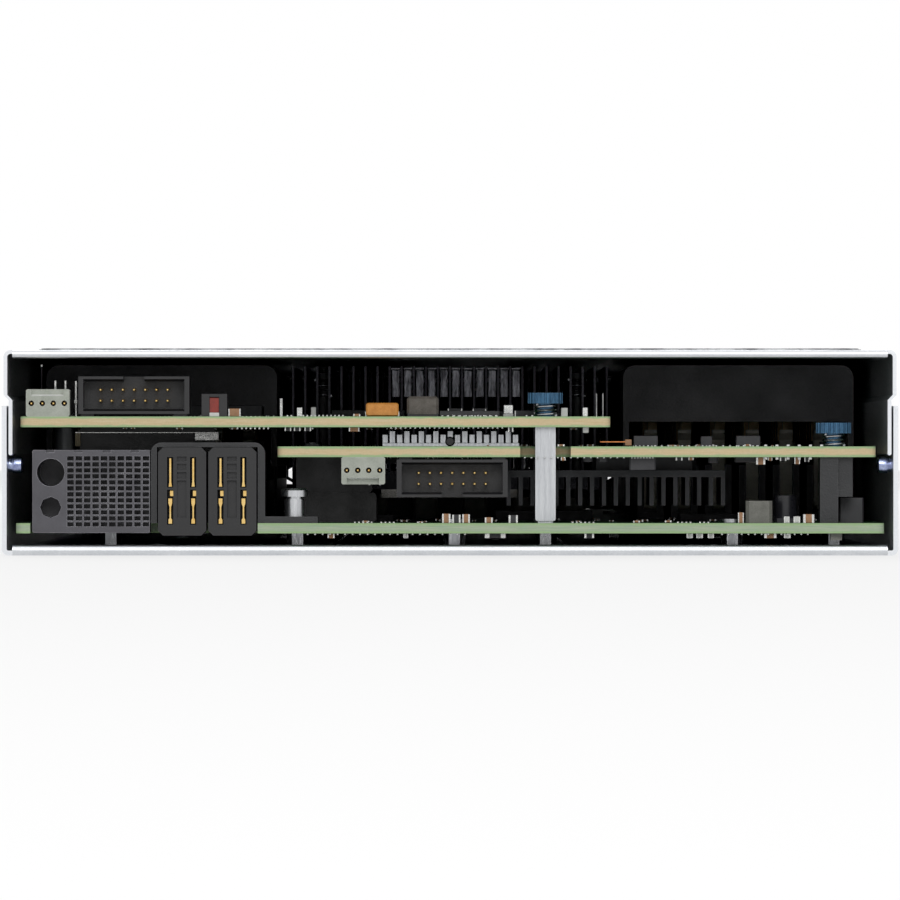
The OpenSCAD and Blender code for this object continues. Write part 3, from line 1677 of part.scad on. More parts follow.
module ejector_lever() {
  z = [lever_z, lever_z + lever_h];
  arm = [lever_pin_y - lever_t / 2, lever_pin_y + lever_t / 2];
  claw_z = [lever_z + 1.6, lever_z + lever_h - 1.6];
  color("lightgray")
    difference() {
      union() {
        translate([lever_pin_x, lever_pin_y, z[0]])
          cylinder(h = lever_h, r = lever_hub_r);
        span([lever_pin_x, lever_pin_x + lever_l - 4], arm, z);
        // folded edges stiffen the arm
        for (e = [[z[0], z[0] + 1], [z[1] - 1, z[1]]])
          span([lever_pin_x + 8, lever_screw_x - 8],
            [arm[0], arm[1] + 2], e);
        // finger lip
        along_z(z[0], z[1])
          polygon([
            [lever_pin_x + lever_l - 5, arm[0]], [lever_pin_x + lever_l, arm[0] + 2.4],
            [lever_pin_x + lever_l, arm[1] + 3], [lever_pin_x + lever_l - 6, arm[1]]
          ]);
        // claw that draws the blade into its slot
        along_z(claw_z[0], claw_z[1])
          polygon([
            [lever_pin_x, lever_pin_y - lever_hub_r],
            [-half_w + 4.6, bezel_back_y + 3.2], [-half_w + 1.6, bezel_back_y + 2.4],
            [-half_w + 0.1, bezel_back_y + 3.6], [-half_w + 0.1, bezel_back_y + 5.6],
            [-half_w + 2.6, bezel_back_y + 6.4], [lever_pin_x - 2, lever_pin_y + 1]
          ]);
      }
      translate([lever_pin_x, lever_pin_y, z[0] - 1])
        cylinder(h = lever_h + 2, d = lever_pin_d + 2 * turn_fit);
      translate([lever_screw_x, arm[1] + 4, lever_screw_z])
        rotate([90, 0, 0])
          cylinder(h = 10, d = lever_screw_d + 2 * turn_fit);
      // lightening slots
      for (i = [0:2])
        along_y(arm[0] - 1, arm[1] + 1)
          rounded([lever_pin_x + 16 + i * 22, lever_pin_x + 30 + i * 22],
            [z[0] + 2.8, z[1] - 2.8], 1.3);
    }
}

module ejector_screw() {
  head_y = lever_pin_y + lever_t / 2 + slack;
  shank_l = head_y - bezel_face_y + 4;
  color("steelblue")
    translate([lever_screw_x, 0, lever_screw_z]) {
      translate([0, head_y + eps, 0])
        rotate([90, 0, 0])
          cylinder(h = shank_l, d = lever_screw_d);
      difference() {
        along_y(head_y, front_y)
          difference() {
            circle(d = screw_head_d);
            for (i = [0:thumb_knurls - 1])
              rotate(i * 360 / thumb_knurls)
                translate([screw_head_d / 2, 0])
                  circle(r = 0.28, $fn = 16);
          }
        span([-0.6, 0.6], [front_y - 1, front_y + 1], [-screw_head_d, screw_head_d]);
      }
    }
}

base_tray();
side_studs();
top_cover();
cover_button();
motherboard();
board_standoffs();
board_chips();
board_chokes();
board_capacitors();
signal_connector();
power_connectors();
power_contacts();
connector_bracket();
bracket_screw();
upper_card();
lower_card();
card_posts();
support_block();
card_connectors();
box_headers();
pin_headers();
header_pins();
upper_card_parts();
lower_card_parts();
card_heatsink();
upper_thumbscrew();
lower_thumbscrew();
thumbscrew_springs();
cpu_sockets();
processors();
rear_heatsink();
front_heatsink();
heatsink_screws();
memory_sockets();
memory_modules();
rear_bank_rear_latches();
rear_bank_front_latches();
front_bank_rear_latches();
front_bank_front_latches();
left_air_baffle();
right_air_baffle();
drive_cage();
drive_backplane();
backplane_connectors();
left_sled();
right_sled();
left_drive();
right_drive();
left_sled_lever();
right_sled_lever();
left_sled_button();
right_sled_button();
front_bezel();
front_panel_board();
console_connector();
power_button();
locator_button();
light_pipes();
ejector_lever();
ejector_screw();
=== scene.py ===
"""Finishes and fine parts of a half-width blade server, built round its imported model."""
import math
import random

import bmesh
import bpy
from bpy.props import FloatProperty, FloatVectorProperty, IntProperty, PointerProperty
from mathutils import Matrix, Vector


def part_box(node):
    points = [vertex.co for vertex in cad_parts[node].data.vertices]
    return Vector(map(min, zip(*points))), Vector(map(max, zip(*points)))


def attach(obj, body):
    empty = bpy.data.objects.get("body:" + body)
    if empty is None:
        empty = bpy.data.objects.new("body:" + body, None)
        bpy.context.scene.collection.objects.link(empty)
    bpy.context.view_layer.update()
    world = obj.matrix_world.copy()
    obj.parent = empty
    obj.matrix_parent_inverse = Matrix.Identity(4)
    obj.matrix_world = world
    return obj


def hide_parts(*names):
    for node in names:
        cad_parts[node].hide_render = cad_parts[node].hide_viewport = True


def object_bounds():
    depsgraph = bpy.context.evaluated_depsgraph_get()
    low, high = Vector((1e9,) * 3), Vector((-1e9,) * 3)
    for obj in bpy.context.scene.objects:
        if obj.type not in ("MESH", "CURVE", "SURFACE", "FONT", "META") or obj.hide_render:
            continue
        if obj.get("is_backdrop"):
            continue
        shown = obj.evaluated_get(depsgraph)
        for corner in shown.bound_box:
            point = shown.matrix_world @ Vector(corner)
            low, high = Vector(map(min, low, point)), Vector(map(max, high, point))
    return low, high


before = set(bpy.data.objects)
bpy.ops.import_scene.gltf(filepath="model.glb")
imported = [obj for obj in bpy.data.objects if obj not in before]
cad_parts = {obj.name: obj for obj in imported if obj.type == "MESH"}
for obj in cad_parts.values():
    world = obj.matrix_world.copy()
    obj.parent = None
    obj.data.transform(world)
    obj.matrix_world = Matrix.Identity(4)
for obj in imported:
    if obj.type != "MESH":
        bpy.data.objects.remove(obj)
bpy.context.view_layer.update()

bl_info = {
    "name": "Blade server",
    "version": (1, 0, 0),
    "blender": (4, 5, 0),
    "location": "3D View > Sidebar > Blade",
    "description": "Finishes and fine parts of a half-width blade server",
    "category": "Object",
}

MM = 0.001


def tone(red, green, blue):
    """Linear colour of a tone given as 0 to 255 display values."""
    def linear(value):
        value /= 255
        return value / 12.92 if value <= 0.04045 else ((value + 0.055) / 1.055) ** 2.4
    return (linear(red), linear(green), linear(blue))


def colour_value(name, description, default):
    return FloatVectorProperty(name=name, description=description, default=default,
                               subtype="COLOR", size=3, min=0, max=1)


def length_value(name, description, default):
    return FloatProperty(name=name, description=description, default=default,
                         subtype="DISTANCE", unit="LENGTH", min=0, precision=5)


# ---------- sizes and colours ----------

class BladeSheetLooks(bpy.types.PropertyGroup):
    sheet: colour_value("Sheet", "Colour of the zinc-plated sheet", tone(222, 224, 227))
    sheet_shade: colour_value("Sheet shade", "Darker streaks of the plating", tone(205, 208, 212))
    wear_width: length_value("Wear width", "Width of the rubbed edges", 0.5 * MM)
    blue: colour_value("Touch blue", "Blue of the pieces that a hand works", tone(66, 110, 142))
    blue_deep: colour_value("Deep blue", "Darker blue in the knurls", tone(44, 78, 106))


class BladeBoardLooks(bpy.types.PropertyGroup):
    mask: colour_value("Mask", "Solder mask on the faces of the boards", tone(38, 84, 56))
    mask_edge: colour_value("Mask edge", "Thin line of mask along a board's edge", tone(158, 186, 138))
    core: colour_value("Card core", "Glass laminate in the cut edge of a card", tone(208, 186, 142))
    core_cool: colour_value("Motherboard core", "Glass laminate of the motherboard", tone(146, 176, 150))
    solder: colour_value("Solder", "Tinned pads and end caps", tone(222, 222, 218))
    pad_size: length_value("Pad size", "Side of the smallest pad", 0.5 * MM)


class BladePlasticLooks(bpy.types.PropertyGroup):
    grey: colour_value("Connector grey", "Signal connector housing", tone(84, 83, 89))
    black: colour_value("Black", "Black mouldings", tone(25, 25, 27))
    ivory: colour_value("Ivory", "Wire headers and latches", tone(178, 182, 172))
    baffle: colour_value("Baffle", "Smoke grey air baffles", tone(62, 62, 66))
    red: colour_value("Red", "Jumper cap", tone(150, 48, 34))


class BladeStageLooks(bpy.types.PropertyGroup):
    camera_y: length_value("Camera distance", "Distance of the camera behind the centre", 2.31)
    camera_z: length_value("Camera height", "Height of the lens over the floor", 23.9 * MM)
    lens: FloatProperty(name="Lens", description="Focal length of the camera in millimetres",
                        default=353.0, min=1)
    sky: FloatProperty(name="Sky", description="Strength of the even light from all round",
                       default=0.44, min=0, max=1)
    softbox: FloatProperty(name="Softbox", description="Power of the softbox behind the camera",
                           default=30.0, min=0, unit="POWER")
    seed: IntProperty(name="Seed", description="Seed of the scattered small parts", default=11)


class BladeLooks(bpy.types.PropertyGroup):
    sheet: PointerProperty(type=BladeSheetLooks)
    board: PointerProperty(type=BladeBoardLooks)
    plastic: PointerProperty(type=BladePlasticLooks)
    stage: PointerProperty(type=BladeStageLooks)


# ---------- shaping ----------

class Form:
    """Gathers the shapes of one piece. Sizes and places are in millimetres."""

    def __init__(self, *materials):
        self.points, self.faces, self.marks, self.materials = [], [], [], materials

    def skin(self, rings, mark=0, caps=True, loop=False):
        """Joins a row of rings of points into one surface; loop joins the last to the first."""
        base, size = len(self.points), len(rings[0])
        for ring in rings:
            self.points.extend(ring)
        steps = len(rings) if loop else len(rings) - 1
        for r in range(steps):
            low, high = base + r * size, base + (r + 1) % len(rings) * size
            for i in range(size):
                j = (i + 1) % size
                self.faces.append((low + i, low + j, high + j, high + i))
                self.marks.append(mark)
        if caps and not loop:
            self.faces.append(tuple(base + i for i in reversed(range(size))))
            self.faces.append(tuple(base + (len(rings) - 1) * size + i for i in range(size)))
            self.marks += [mark, mark]

    def block(self, x, y, z, mark=0, cut=0.08):
        """Box between two corners, all its edges cut by `cut`."""
        cut = min(cut, (x[1] - x[0]) / 3, (y[1] - y[0]) / 3, (z[1] - z[0]) / 3)
        rings = []
        for height, inset in ((z[0], cut), (z[0] + cut, 0), (z[1] - cut, 0), (z[1], cut)):
            x0, x1, y0, y1 = x[0] + inset, x[1] - inset, y[0] + inset, y[1] - inset
            c = cut
            rings.append([(x0 + c, y0, height), (x1 - c, y0, height), (x1, y0 + c, height),
                          (x1, y1 - c, height), (x1 - c, y1, height), (x0 + c, y1, height),
                          (x0, y1 - c, height), (x0, y0 + c, height)])
        self.skin(rings, mark)

    def turned(self, centre, axis, profile, mark=0, sides=24):
        """Turns (radius, distance along the axis) pairs round an axis through centre."""
        axis = Vector(axis).normalized()
        side = axis.orthogonal().normalized()
        across = axis.cross(side)
        rings = []
        for radius, along in profile:
            ring = []
            for i in range(sides):
                a = 2 * math.pi * i / sides
                ring.append(tuple(Vector(centre) + axis * along
                                  + (side * math.cos(a) + across * math.sin(a)) * radius))
            rings.append(ring)
        self.skin(rings, mark)

    def wire(self, path, radius, mark=0, sides=8):
        """Round wire along a path of points."""
        path = [Vector(p) for p in path]
        rings = []
        up = None
        for i, p in enumerate(path):
            ahead = (path[min(i + 1, len(path) - 1)] - path[max(i - 1, 0)]).normalized()
            up = ahead.orthogonal() if up is None else up - ahead * up.dot(ahead)
            up.normalize()
            across = ahead.cross(up)
            rings.append([tuple(p + (up * math.cos(a) + across * math.sin(a)) * radius)
                          for a in (2 * math.pi * k / sides for k in range(sides))])
        self.skin(rings, mark)

    def coil(self, x, y, z, radius, wire_d, turns, taper=0.0, mark=0):
        """Compression spring standing on z[0], with closed ends; taper narrows its top."""
        path = []
        steps = int(turns * 20)
        for i in range(steps + 1):
            t = i / steps
            climb = min(max((t * turns - 0.5) / (turns - 1), 0), 1)
            r = radius - taper * climb
            a = 2 * math.pi * t * turns
            path.append((x + r * math.cos(a), y + r * math.sin(a),
                         z[0] + wire_d / 2 + (z[1] - z[0] - wire_d) * climb))
        self.wire(path, wire_d / 2, mark)

    def piece(self, name, body, replaces=(), smooth=35):
        mesh = bpy.data.meshes.new(name)
        mesh.from_pydata([tuple(c * MM for c in p) for p in self.points], [], self.faces)
        for m in self.materials:
            mesh.materials.append(m)
        mesh.polygons.foreach_set("material_index", self.marks)
        mesh.polygons.foreach_set("use_smooth", [True] * len(self.faces))
        bm = bmesh.new()
        bm.from_mesh(mesh)
        bmesh.ops.recalc_face_normals(bm, faces=bm.faces)
        for edge in bm.edges:
            if len(edge.link_faces) != 2 or edge.calc_face_angle() > math.radians(smooth):
                edge.smooth = False
        bm.to_mesh(mesh)
        bm.free()
        made = bpy.data.objects.new(name, mesh)
        bpy.context.scene.collection.objects.link(made)
        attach(made, body)
        if replaces:
            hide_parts(*replaces)
        return made


def box_mm(node):
    """Lowest and highest corner of a CAD node in millimetres."""
    low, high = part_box(node)
    return low / MM, high / MM


def dress(material, *nodes):
    """Gives CAD nodes a finish."""
    for name in nodes:
        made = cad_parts[name]
        if not made.material_slots:
            made.data.materials.append(material)
        for slot in made.material_slots:
            slot.material = material


class BoardFace:
    """Sets parts on one face of a board. Places are in millimetres from the board's left
    and rear edges, and heights are measured off the face."""

    def __init__(self, form, node, up):
        low, high = box_mm(node)
        self.form, self.x, self.y = form, low.x, low.y
        self.z, self.way = (high.z, 1) if up else (low.z, -1)

    def box(self, x, y, w, l, h, mark=0, off=0.0, cut=0.08):
        """Box of width w, length l and height h that starts `off` above the face."""
        ends = sorted((self.z + self.way * off, self.z + self.way * (off + h)))
        self.form.block((self.x + x, self.x + x + w), (self.y + y, self.y + y + l), ends,
                        mark, cut)

    def capped(self, x, y, w, l, h, mark, cap, cap_w=0.35):
        """Two-terminal part with metal ends on its left and right."""
        self.box(x, y, w, l, h, mark, 0.03, 0.1)
        for side in (x - 0.02, x + w - cap_w + 0.02):
            self.box(side, y - 0.03, cap_w, l + 0.06, h + 0.03, cap, 0, 0.06)

    def row(self, x, y, count, pitch, w, l, h, mark):
        """Row of equal small blocks, such as solder joints or leads."""
        for i in range(count):
            self.box(x + i * pitch, y, w, l, h, mark, 0, 0.05)

    def chip(self, x, y, w, l, h, mark, lead, leads):
        """Package with leads along its rear and front sides."""
        self.box(x, y, w, l, h, mark, 0.12, 0.12)
        pitch = w / leads
        for side in (y - 0.45, y + l - 0.1):
            self.row(x + pitch * 0.3, side, leads, pitch, pitch * 0.4, 0.55, 0.3, lead)

    def scatter(self, draw, count, x, y, mark, cap):
        """Small two-terminal parts at drawn places inside the ranges x and y."""
        for _ in range(count):
            w, l, h = draw.choice(((1.0, 0.5, 0.35), (1.6, 0.8, 0.5), (0.6, 0.3, 0.3)))
            self.capped(draw.uniform(*x), draw.uniform(*y), w, l, h, mark, cap, w * 0.28)


# ---------- shared effects ----------

class Web:
    """Adds linked nodes to a shader tree."""

    def __init__(self, tree):
        self.tree = tree

    def add(self, kind, inputs=None, **settings):
        made = self.tree.nodes.new(kind)
        for key, value in settings.items():
            setattr(made, key, value)
        for key, value in (inputs or {}).items():
            if isinstance(value, bpy.types.NodeSocket):
                self.tree.links.new(value, made.inputs[key])
            else:
                made.inputs[key].default_value = value
        return made

    def math(self, operation, a, b=0.0, c=0.0, clamp=False):
        return self.add("ShaderNodeMath", {0: a, 1: b, 2: c}, operation=operation,
                        use_clamp=clamp).outputs[0]

    def dot(self, a, b):
        return self.add("ShaderNodeVectorMath", {0: a, 1: b},
                        operation="DOT_PRODUCT").outputs["Value"]

    def mix(self, factor, a, b):
        """Mixes two colours."""
        made = self.tree.nodes.new("ShaderNodeMix")
        made.data_type = "RGBA"
        for socket, value in ((made.inputs[0], factor), (made.inputs[6], a), (made.inputs[7], b)):
            if isinstance(value, bpy.types.NodeSocket):
                self.tree.links.new(value, socket)
            elif isinstance(value, (int, float)):
                socket.default_value = value
            else:
                socket.default_value = (*value[:3], 1)
        return made.outputs[2]

    def ramp(self, value, low, high, start=0.0, end=1.0):
        """Maps value from low..high to start..end, held at the ends."""
        return self.add("ShaderNodeMapRange", {0: value, 1: low, 2: high, 3: start,
                                               4: end}).outputs[0]

    def noise(self, vector, size, detail=4.0, rough=0.55):
        """Noise whose blotches are about `size` metres."""
        return self.add("ShaderNodeTexNoise", {"Vector": vector, "Scale": 1 / size,
                                               "Detail": detail, "Roughness": rough}).outputs[0]


def effect(name, inputs, outputs):
    """Starts a shared node group with named sockets."""
    tree = bpy.data.node_groups.new(name, "ShaderNodeTree")
    kinds = {"number": "NodeSocketFloat", "colour": "NodeSocketColor",
             "vector": "NodeSocketVector"}
    for label, kind, value in inputs:
        made = tree.interface.new_socket(name=label, in_out="INPUT", socket_type=kinds[kind])
        made.default_value = value
    for label, kind in outputs:
        tree.interface.new_socket(name=label, in_out="OUTPUT", socket_type=kinds[kind])
    web = Web(tree)
    return web, web.add("NodeGroupInput").outputs, web.add("NodeGroupOutput")


def make_edge_wear():
    """Mask of the outer edges, where handling rubs a finish bright."""
    web, given, out = effect("Edge Wear",
                             [("Width", "number", 0.0005), ("Amount", "number", 0.5),
                              ("Patch Size", "number", 0.006)],
                             [("Mask", "number")])
    place = web.add("ShaderNodeTexCoord").outputs["Object"]
    normal = web.add("ShaderNodeNewGeometry").outputs["Normal"]
    bevel = web.add("ShaderNodeBevel", {"Radius": given["Width"]}, samples=4)
    turn = web.math("SUBTRACT", 1.0, web.dot(bevel.outputs[0], normal))
    edge = web.ramp(turn, 0.02, 0.22)
    patch_scale = web.math("DIVIDE", 1.0, given["Patch Size"])
    patches = web.add("ShaderNodeTexNoise", {"Vector": place, "Scale": patch_scale,
                                             "Detail": 5.0, "Roughness": 0.65}).outputs[0]
    broken = web.ramp(patches, 0.38, 0.62)
    mask = web.math("MULTIPLY", web.math("MULTIPLY", edge, broken), given["Amount"], clamp=True)
    web.tree.links.new(mask, out.inputs["Mask"])


def make_grain():
    """Two sizes of noise, for tone, gloss and a fine relief."""
    web, given, out = effect("Grain",
                             [("Stretch", "vector", (1, 1, 1)), ("Size", "number", 0.004),
                              ("Fine Size", "number", 0.0004)],
                             [("Tone", "number"), ("Relief", "number")])
    place = web.add("ShaderNodeTexCoord").outputs["Object"]
    along = web.add("ShaderNodeVectorMath", {0: place, 1: given["Stretch"]},
                    operation="MULTIPLY").outputs[0]
    big = web.add("ShaderNodeTexNoise",
                  {"Vector": along, "Scale": web.math("DIVIDE", 1.0, given["Size"]),
                   "Detail": 5.0, "Roughness": 0.6}).outputs[0]
    fine = web.add("ShaderNodeTexNoise",
                   {"Vector": along, "Scale": web.math("DIVIDE", 1.0, given["Fine Size"]),
                    "Detail": 2.0, "Roughness": 0.5}).outputs[0]
    both = web.math("MULTIPLY_ADD", big, 0.65, web.math("MULTIPLY", fine, 0.35))
    web.tree.links.new(web.ramp(both, 0.35, 0.65), out.inputs["Tone"])
    web.tree.links.new(fine, out.inputs["Relief"])


def make_dust():
    """Mask of the light dust that settles on faces that look up."""
    web, given, out = effect("Dust", [("Amount", "number", 0.2), ("Size", "number", 0.02)],
                             [("Mask", "number")])
    place = web.add("ShaderNodeTexCoord").outputs["Object"]
    normal = web.add("ShaderNodeNewGeometry").outputs["Normal"]
    up = web.ramp(web.dot(normal, (0, 0, 1)), 0.5, 1.0)
    clouds = web.add("ShaderNodeTexNoise",
                     {"Vector": place, "Scale": web.math("DIVIDE", 1.0, given["Size"]),
                      "Detail": 7.0, "Roughness": 0.7}).outputs[0]
    cover = web.math("MULTIPLY", up, web.ramp(clouds, 0.4, 0.75))
    web.tree.links.new(web.math("MULTIPLY", cover, given["Amount"], clamp=True),
                       out.inputs["Mask"])


def make_laminate():
    """Board of glass laminate: masked faces with copper under them, and a layered cut edge."""
    web, given, out = effect(
        "Laminate",
        [("Face", "vector", (0, 0, 1)), ("Low", "number", 0.0), ("High", "number", 0.002),
         ("Skin", "number", 0.00035), ("Mask", "colour", (0.02, 0.1, 0.04, 1)),
         ("Line", "colour", (0.3, 0.4, 0.2, 1)), ("Core", "colour", (0.6, 0.45, 0.25, 1))],
        [("Colour", "colour"), ("Relief", "number"), ("Gloss", "number")])
    place = web.add("ShaderNodeTexCoord").outputs["Object"]
    normal = web.add("ShaderNodeNewGeometry").outputs["Normal"]
    flat = web.math("GREATER_THAN", web.math("ABSOLUTE", web.dot(normal, given["Face"])), 0.5)
    # cut edge: layers of glass cloth, and the mask's thin line at both faces
    depth = web.dot(place, given["Face"])
    layered = web.add("ShaderNodeVectorMath", {0: place, 1: (160, 160, 5200)},
                      operation="MULTIPLY").outputs[0]
    cloth = web.add("ShaderNodeTexNoise", {"Vector": layered, "Scale": 1.0, "Detail": 3.0,
                                           "Roughness": 0.6}).outputs[0]
    fibres = web.noise(place, 0.00035, 3.0)
    pale = web.mix(web.ramp(cloth, 0.3, 0.7, 0.0, 0.32), given["Core"], (0.86, 0.78, 0.6))
    pale = web.mix(web.ramp(fibres, 0.3, 0.7, 0.0, 0.22), pale, (0.42, 0.32, 0.18))
    over = web.math("SUBTRACT", depth, given["Low"])
    under = web.math("SUBTRACT", given["High"], depth)
    wander = web.ramp(web.noise(place, 0.003), 0.3, 0.7, 0.6, 1.3)
    reach = web.math("DIVIDE", web.math("MINIMUM", over, under), given["Skin"])
    line = web.ramp(web.math("DIVIDE", reach, wander), 0.45, 1.0, 1.0, 0.0)
    edge = web.mix(line, pale, given["Line"])
    # face: tracks and filled areas of copper show through the mask, vias as small rings
    tracks = web.add("ShaderNodeTexBrick",
                     {"Vector": place, "Color1": (1, 1, 1, 1), "Color2": (0.86, 0.86, 0.86, 1),
                      "Mortar": (0, 0, 0, 1), "Scale": 260.0, "Mortar Size": 0.09,
                      "Brick Width": 3.4, "Row Height": 0.16}, offset=0.37).outputs[0]
    area = web.ramp(web.noise(place, 0.018, 2.0), 0.47, 0.53)
    turned = web.add("ShaderNodeMapping", {"Vector": place,
                                           "Rotation": (0, 0, 1.5708)}).outputs[0]
    crossing = web.add("ShaderNodeTexBrick",
                       {"Vector": turned, "Color1": (1, 1, 1, 1),
                        "Color2": (0.86, 0.86, 0.86, 1), "Mortar": (0, 0, 0, 1), "Scale": 260.0,
                        "Mortar Size": 0.09, "Brick Width": 4.1, "Row Height": 0.16},
                       offset=0.21).outputs[0]
    copper = web.mix(area, tracks, crossing)
    vias = web.add("ShaderNodeTexVoronoi", {"Vector": place, "Scale": 210.0,
                                            "Randomness": 0.75}).outputs["Distance"]
    ring = web.math("LESS_THAN", vias, 0.10)
    bright = web.mix(0.5, given["Mask"], (0.1, 0.36, 0.16))
    face = web.mix(copper, given["Mask"], bright)
    face = web.mix(ring, face, (0.55, 0.56, 0.42))
    web.tree.links.new(web.mix(flat, edge, face), out.inputs["Colour"])
    lift = web.math("MULTIPLY", web.add("ShaderNodeRGBToBW", {0: copper}).outputs[0], flat)
    rough = web.math("MULTIPLY", web.math("SUBTRACT", 1.0, flat), fibres)
    web.tree.links.new(web.math("ADD", lift, rough), out.inputs["Relief"])
    web.tree.links.new(flat, out.inputs["Gloss"])


def make_effects():
    make_edge_wear()
    make_grain()
    make_dust()
    make_laminate()


def start_material(name):
    """New material holding only a Principled BSDF; returns it, its web and the shader."""
    made = bpy.data.materials.new(name)
    made.use_nodes = True
    shader = next(n for n in made.node_tree.nodes if n.type == "BSDF_PRINCIPLED")
    return made, Web(made.node_tree), shader


def place_effect(web, name, **values):
    made = web.add("ShaderNodeGroup", node_tree=bpy.data.node_groups[name])
    for key, value in values.items():
        socket = made.inputs[key.replace("_", " ")]
        if socket.type == "RGBA":
            value = (*value[:3], 1)
        if isinstance(value, bpy.types.NodeSocket):
            web.tree.links.new(value, socket)
        else:
            socket.default_value = value
    return made.outputs


def finish(name, base, shade, roughness, metal=0.0, stretch=(1, 1, 1), size=0.004,
           fine=0.0004, relief=0.03, wear=0.0, worn=None, worn_width=0.0004, dust=0.0,
           spread=0.08, coat=0.0, specular=0.5, transmission=0.0, shading=None):
    """Finish made of a base tone and its shade, with grain, rubbed edges and dust."""
    made, web, shader = start_material(name)
    grain = place_effect(web, "Grain", Stretch=stretch, Size=size, Fine_Size=fine)
    colour = web.mix(grain["Tone"], shade, base)
    if shading:
        colour = shading(web, colour)
    gloss = web.ramp(grain["Tone"], 0.0, 1.0, roughness + spread, max(roughness - spread, 0.03))
    if wear:
        rubbed = place_effect(web, "Edge Wear", Width=worn_width, Amount=wear)["Mask"]
        colour = web.mix(rubbed, colour, worn or base)
        gloss = web.math("SUBTRACT", gloss, web.math("MULTIPLY", rubbed, 0.12), clamp=True)
    if dust:
        settled = place_effect(web, "Dust", Amount=dust)["Mask"]
        colour = web.mix(settled, colour, tone(168, 165, 158))
        gloss = web.math("ADD", gloss, web.math("MULTIPLY", settled, 0.4), clamp=True)
    bump = web.add("ShaderNodeBump", {"Strength": 1.0, "Distance": relief * MM,
                                      "Height": grain["Relief"]}).outputs[0]
    web.tree.links.new(colour, shader.inputs["Base Color"])
    web.tree.links.new(gloss, shader.inputs["Roughness"])
    web.tree.links.new(bump, shader.inputs["Normal"])
    shader.inputs["Metallic"].default_value = metal
    shader.inputs["Coat Weight"].default_value = coat
    shader.inputs["Specular IOR Level"].default_value = specular
    shader.inputs["Transmission Weight"].default_value = transmission
    return made


def laminate(name, face, low, high, skin, mask, line, core):
    """Finish of one board, whose two faces lie at low and high along `face`."""
    made, web, shader = start_material(name)
    board = place_effect(web, "Laminate", Face=face, Low=low, High=high, Skin=skin, Mask=mask,
                         Line=line, Core=core)
    gloss = web.ramp(board["Gloss"], 0.0, 1.0, 0.75, 0.34)
    bump = web.add("ShaderNodeBump", {"Strength": 0.6, "Distance": 0.03 * MM,
                                      "Height": board["Relief"]}).outputs[0]
    web.tree.links.new(board["Colour"], shader.inputs["Base Color"])
    web.tree.links.new(gloss, shader.inputs["Roughness"])
    web.tree.links.new(bump, shader.inputs["Normal"])
    return made


def painted_step_shade(level):
    """Paints shade onto the low step of a raised panel that starts at the height `level`, darkening its
    steep faces.
    """
    def shading(web, colour):
        place = web.add("ShaderNodeTexCoord").outputs["Object"]
        normal = web.add("ShaderNodeNewGeometry").outputs["Normal"]
        above = web.math("GREATER_THAN", web.dot(place, (0, 0, 1)), level)
        steep = web.math("LESS_THAN", web.math("ABSOLUTE", web.dot(normal, (0, 0, 1))), 0.5)
        # painted shade colour on the steep faces above the level
        return web.mix(web.math("MULTIPLY", above, steep), colour, tone(96, 97, 100))
    return shading


def painted_fin_end_shade(web, colour):
    """Painted shade: darkens the sheared ends of fins, which face along the blade."""
    normal = web.add("ShaderNodeNewGeometry").outputs["Normal"]
    ends = web.math("GREATER_THAN", web.math("ABSOLUTE", web.dot(normal, (0, 1, 0))), 0.7)
    return web.mix(ends, colour, tone(58, 58, 62))


def painted_slope_highlight(web, colour):
    """Painted highlight: lightens sloping faces, as light from above would."""
    normal = web.add("ShaderNodeNewGeometry").outputs["Normal"]
    lean = web.math("ABSOLUTE", web.dot(normal, (0, 0, 1)))
    slope = web.math("MULTIPLY", web.math("GREATER_THAN", lean, 0.2),
                     web.math("LESS_THAN", lean, 0.999))
    return web.mix(slope, colour, tone(250, 250, 248))


FINISHES = {}


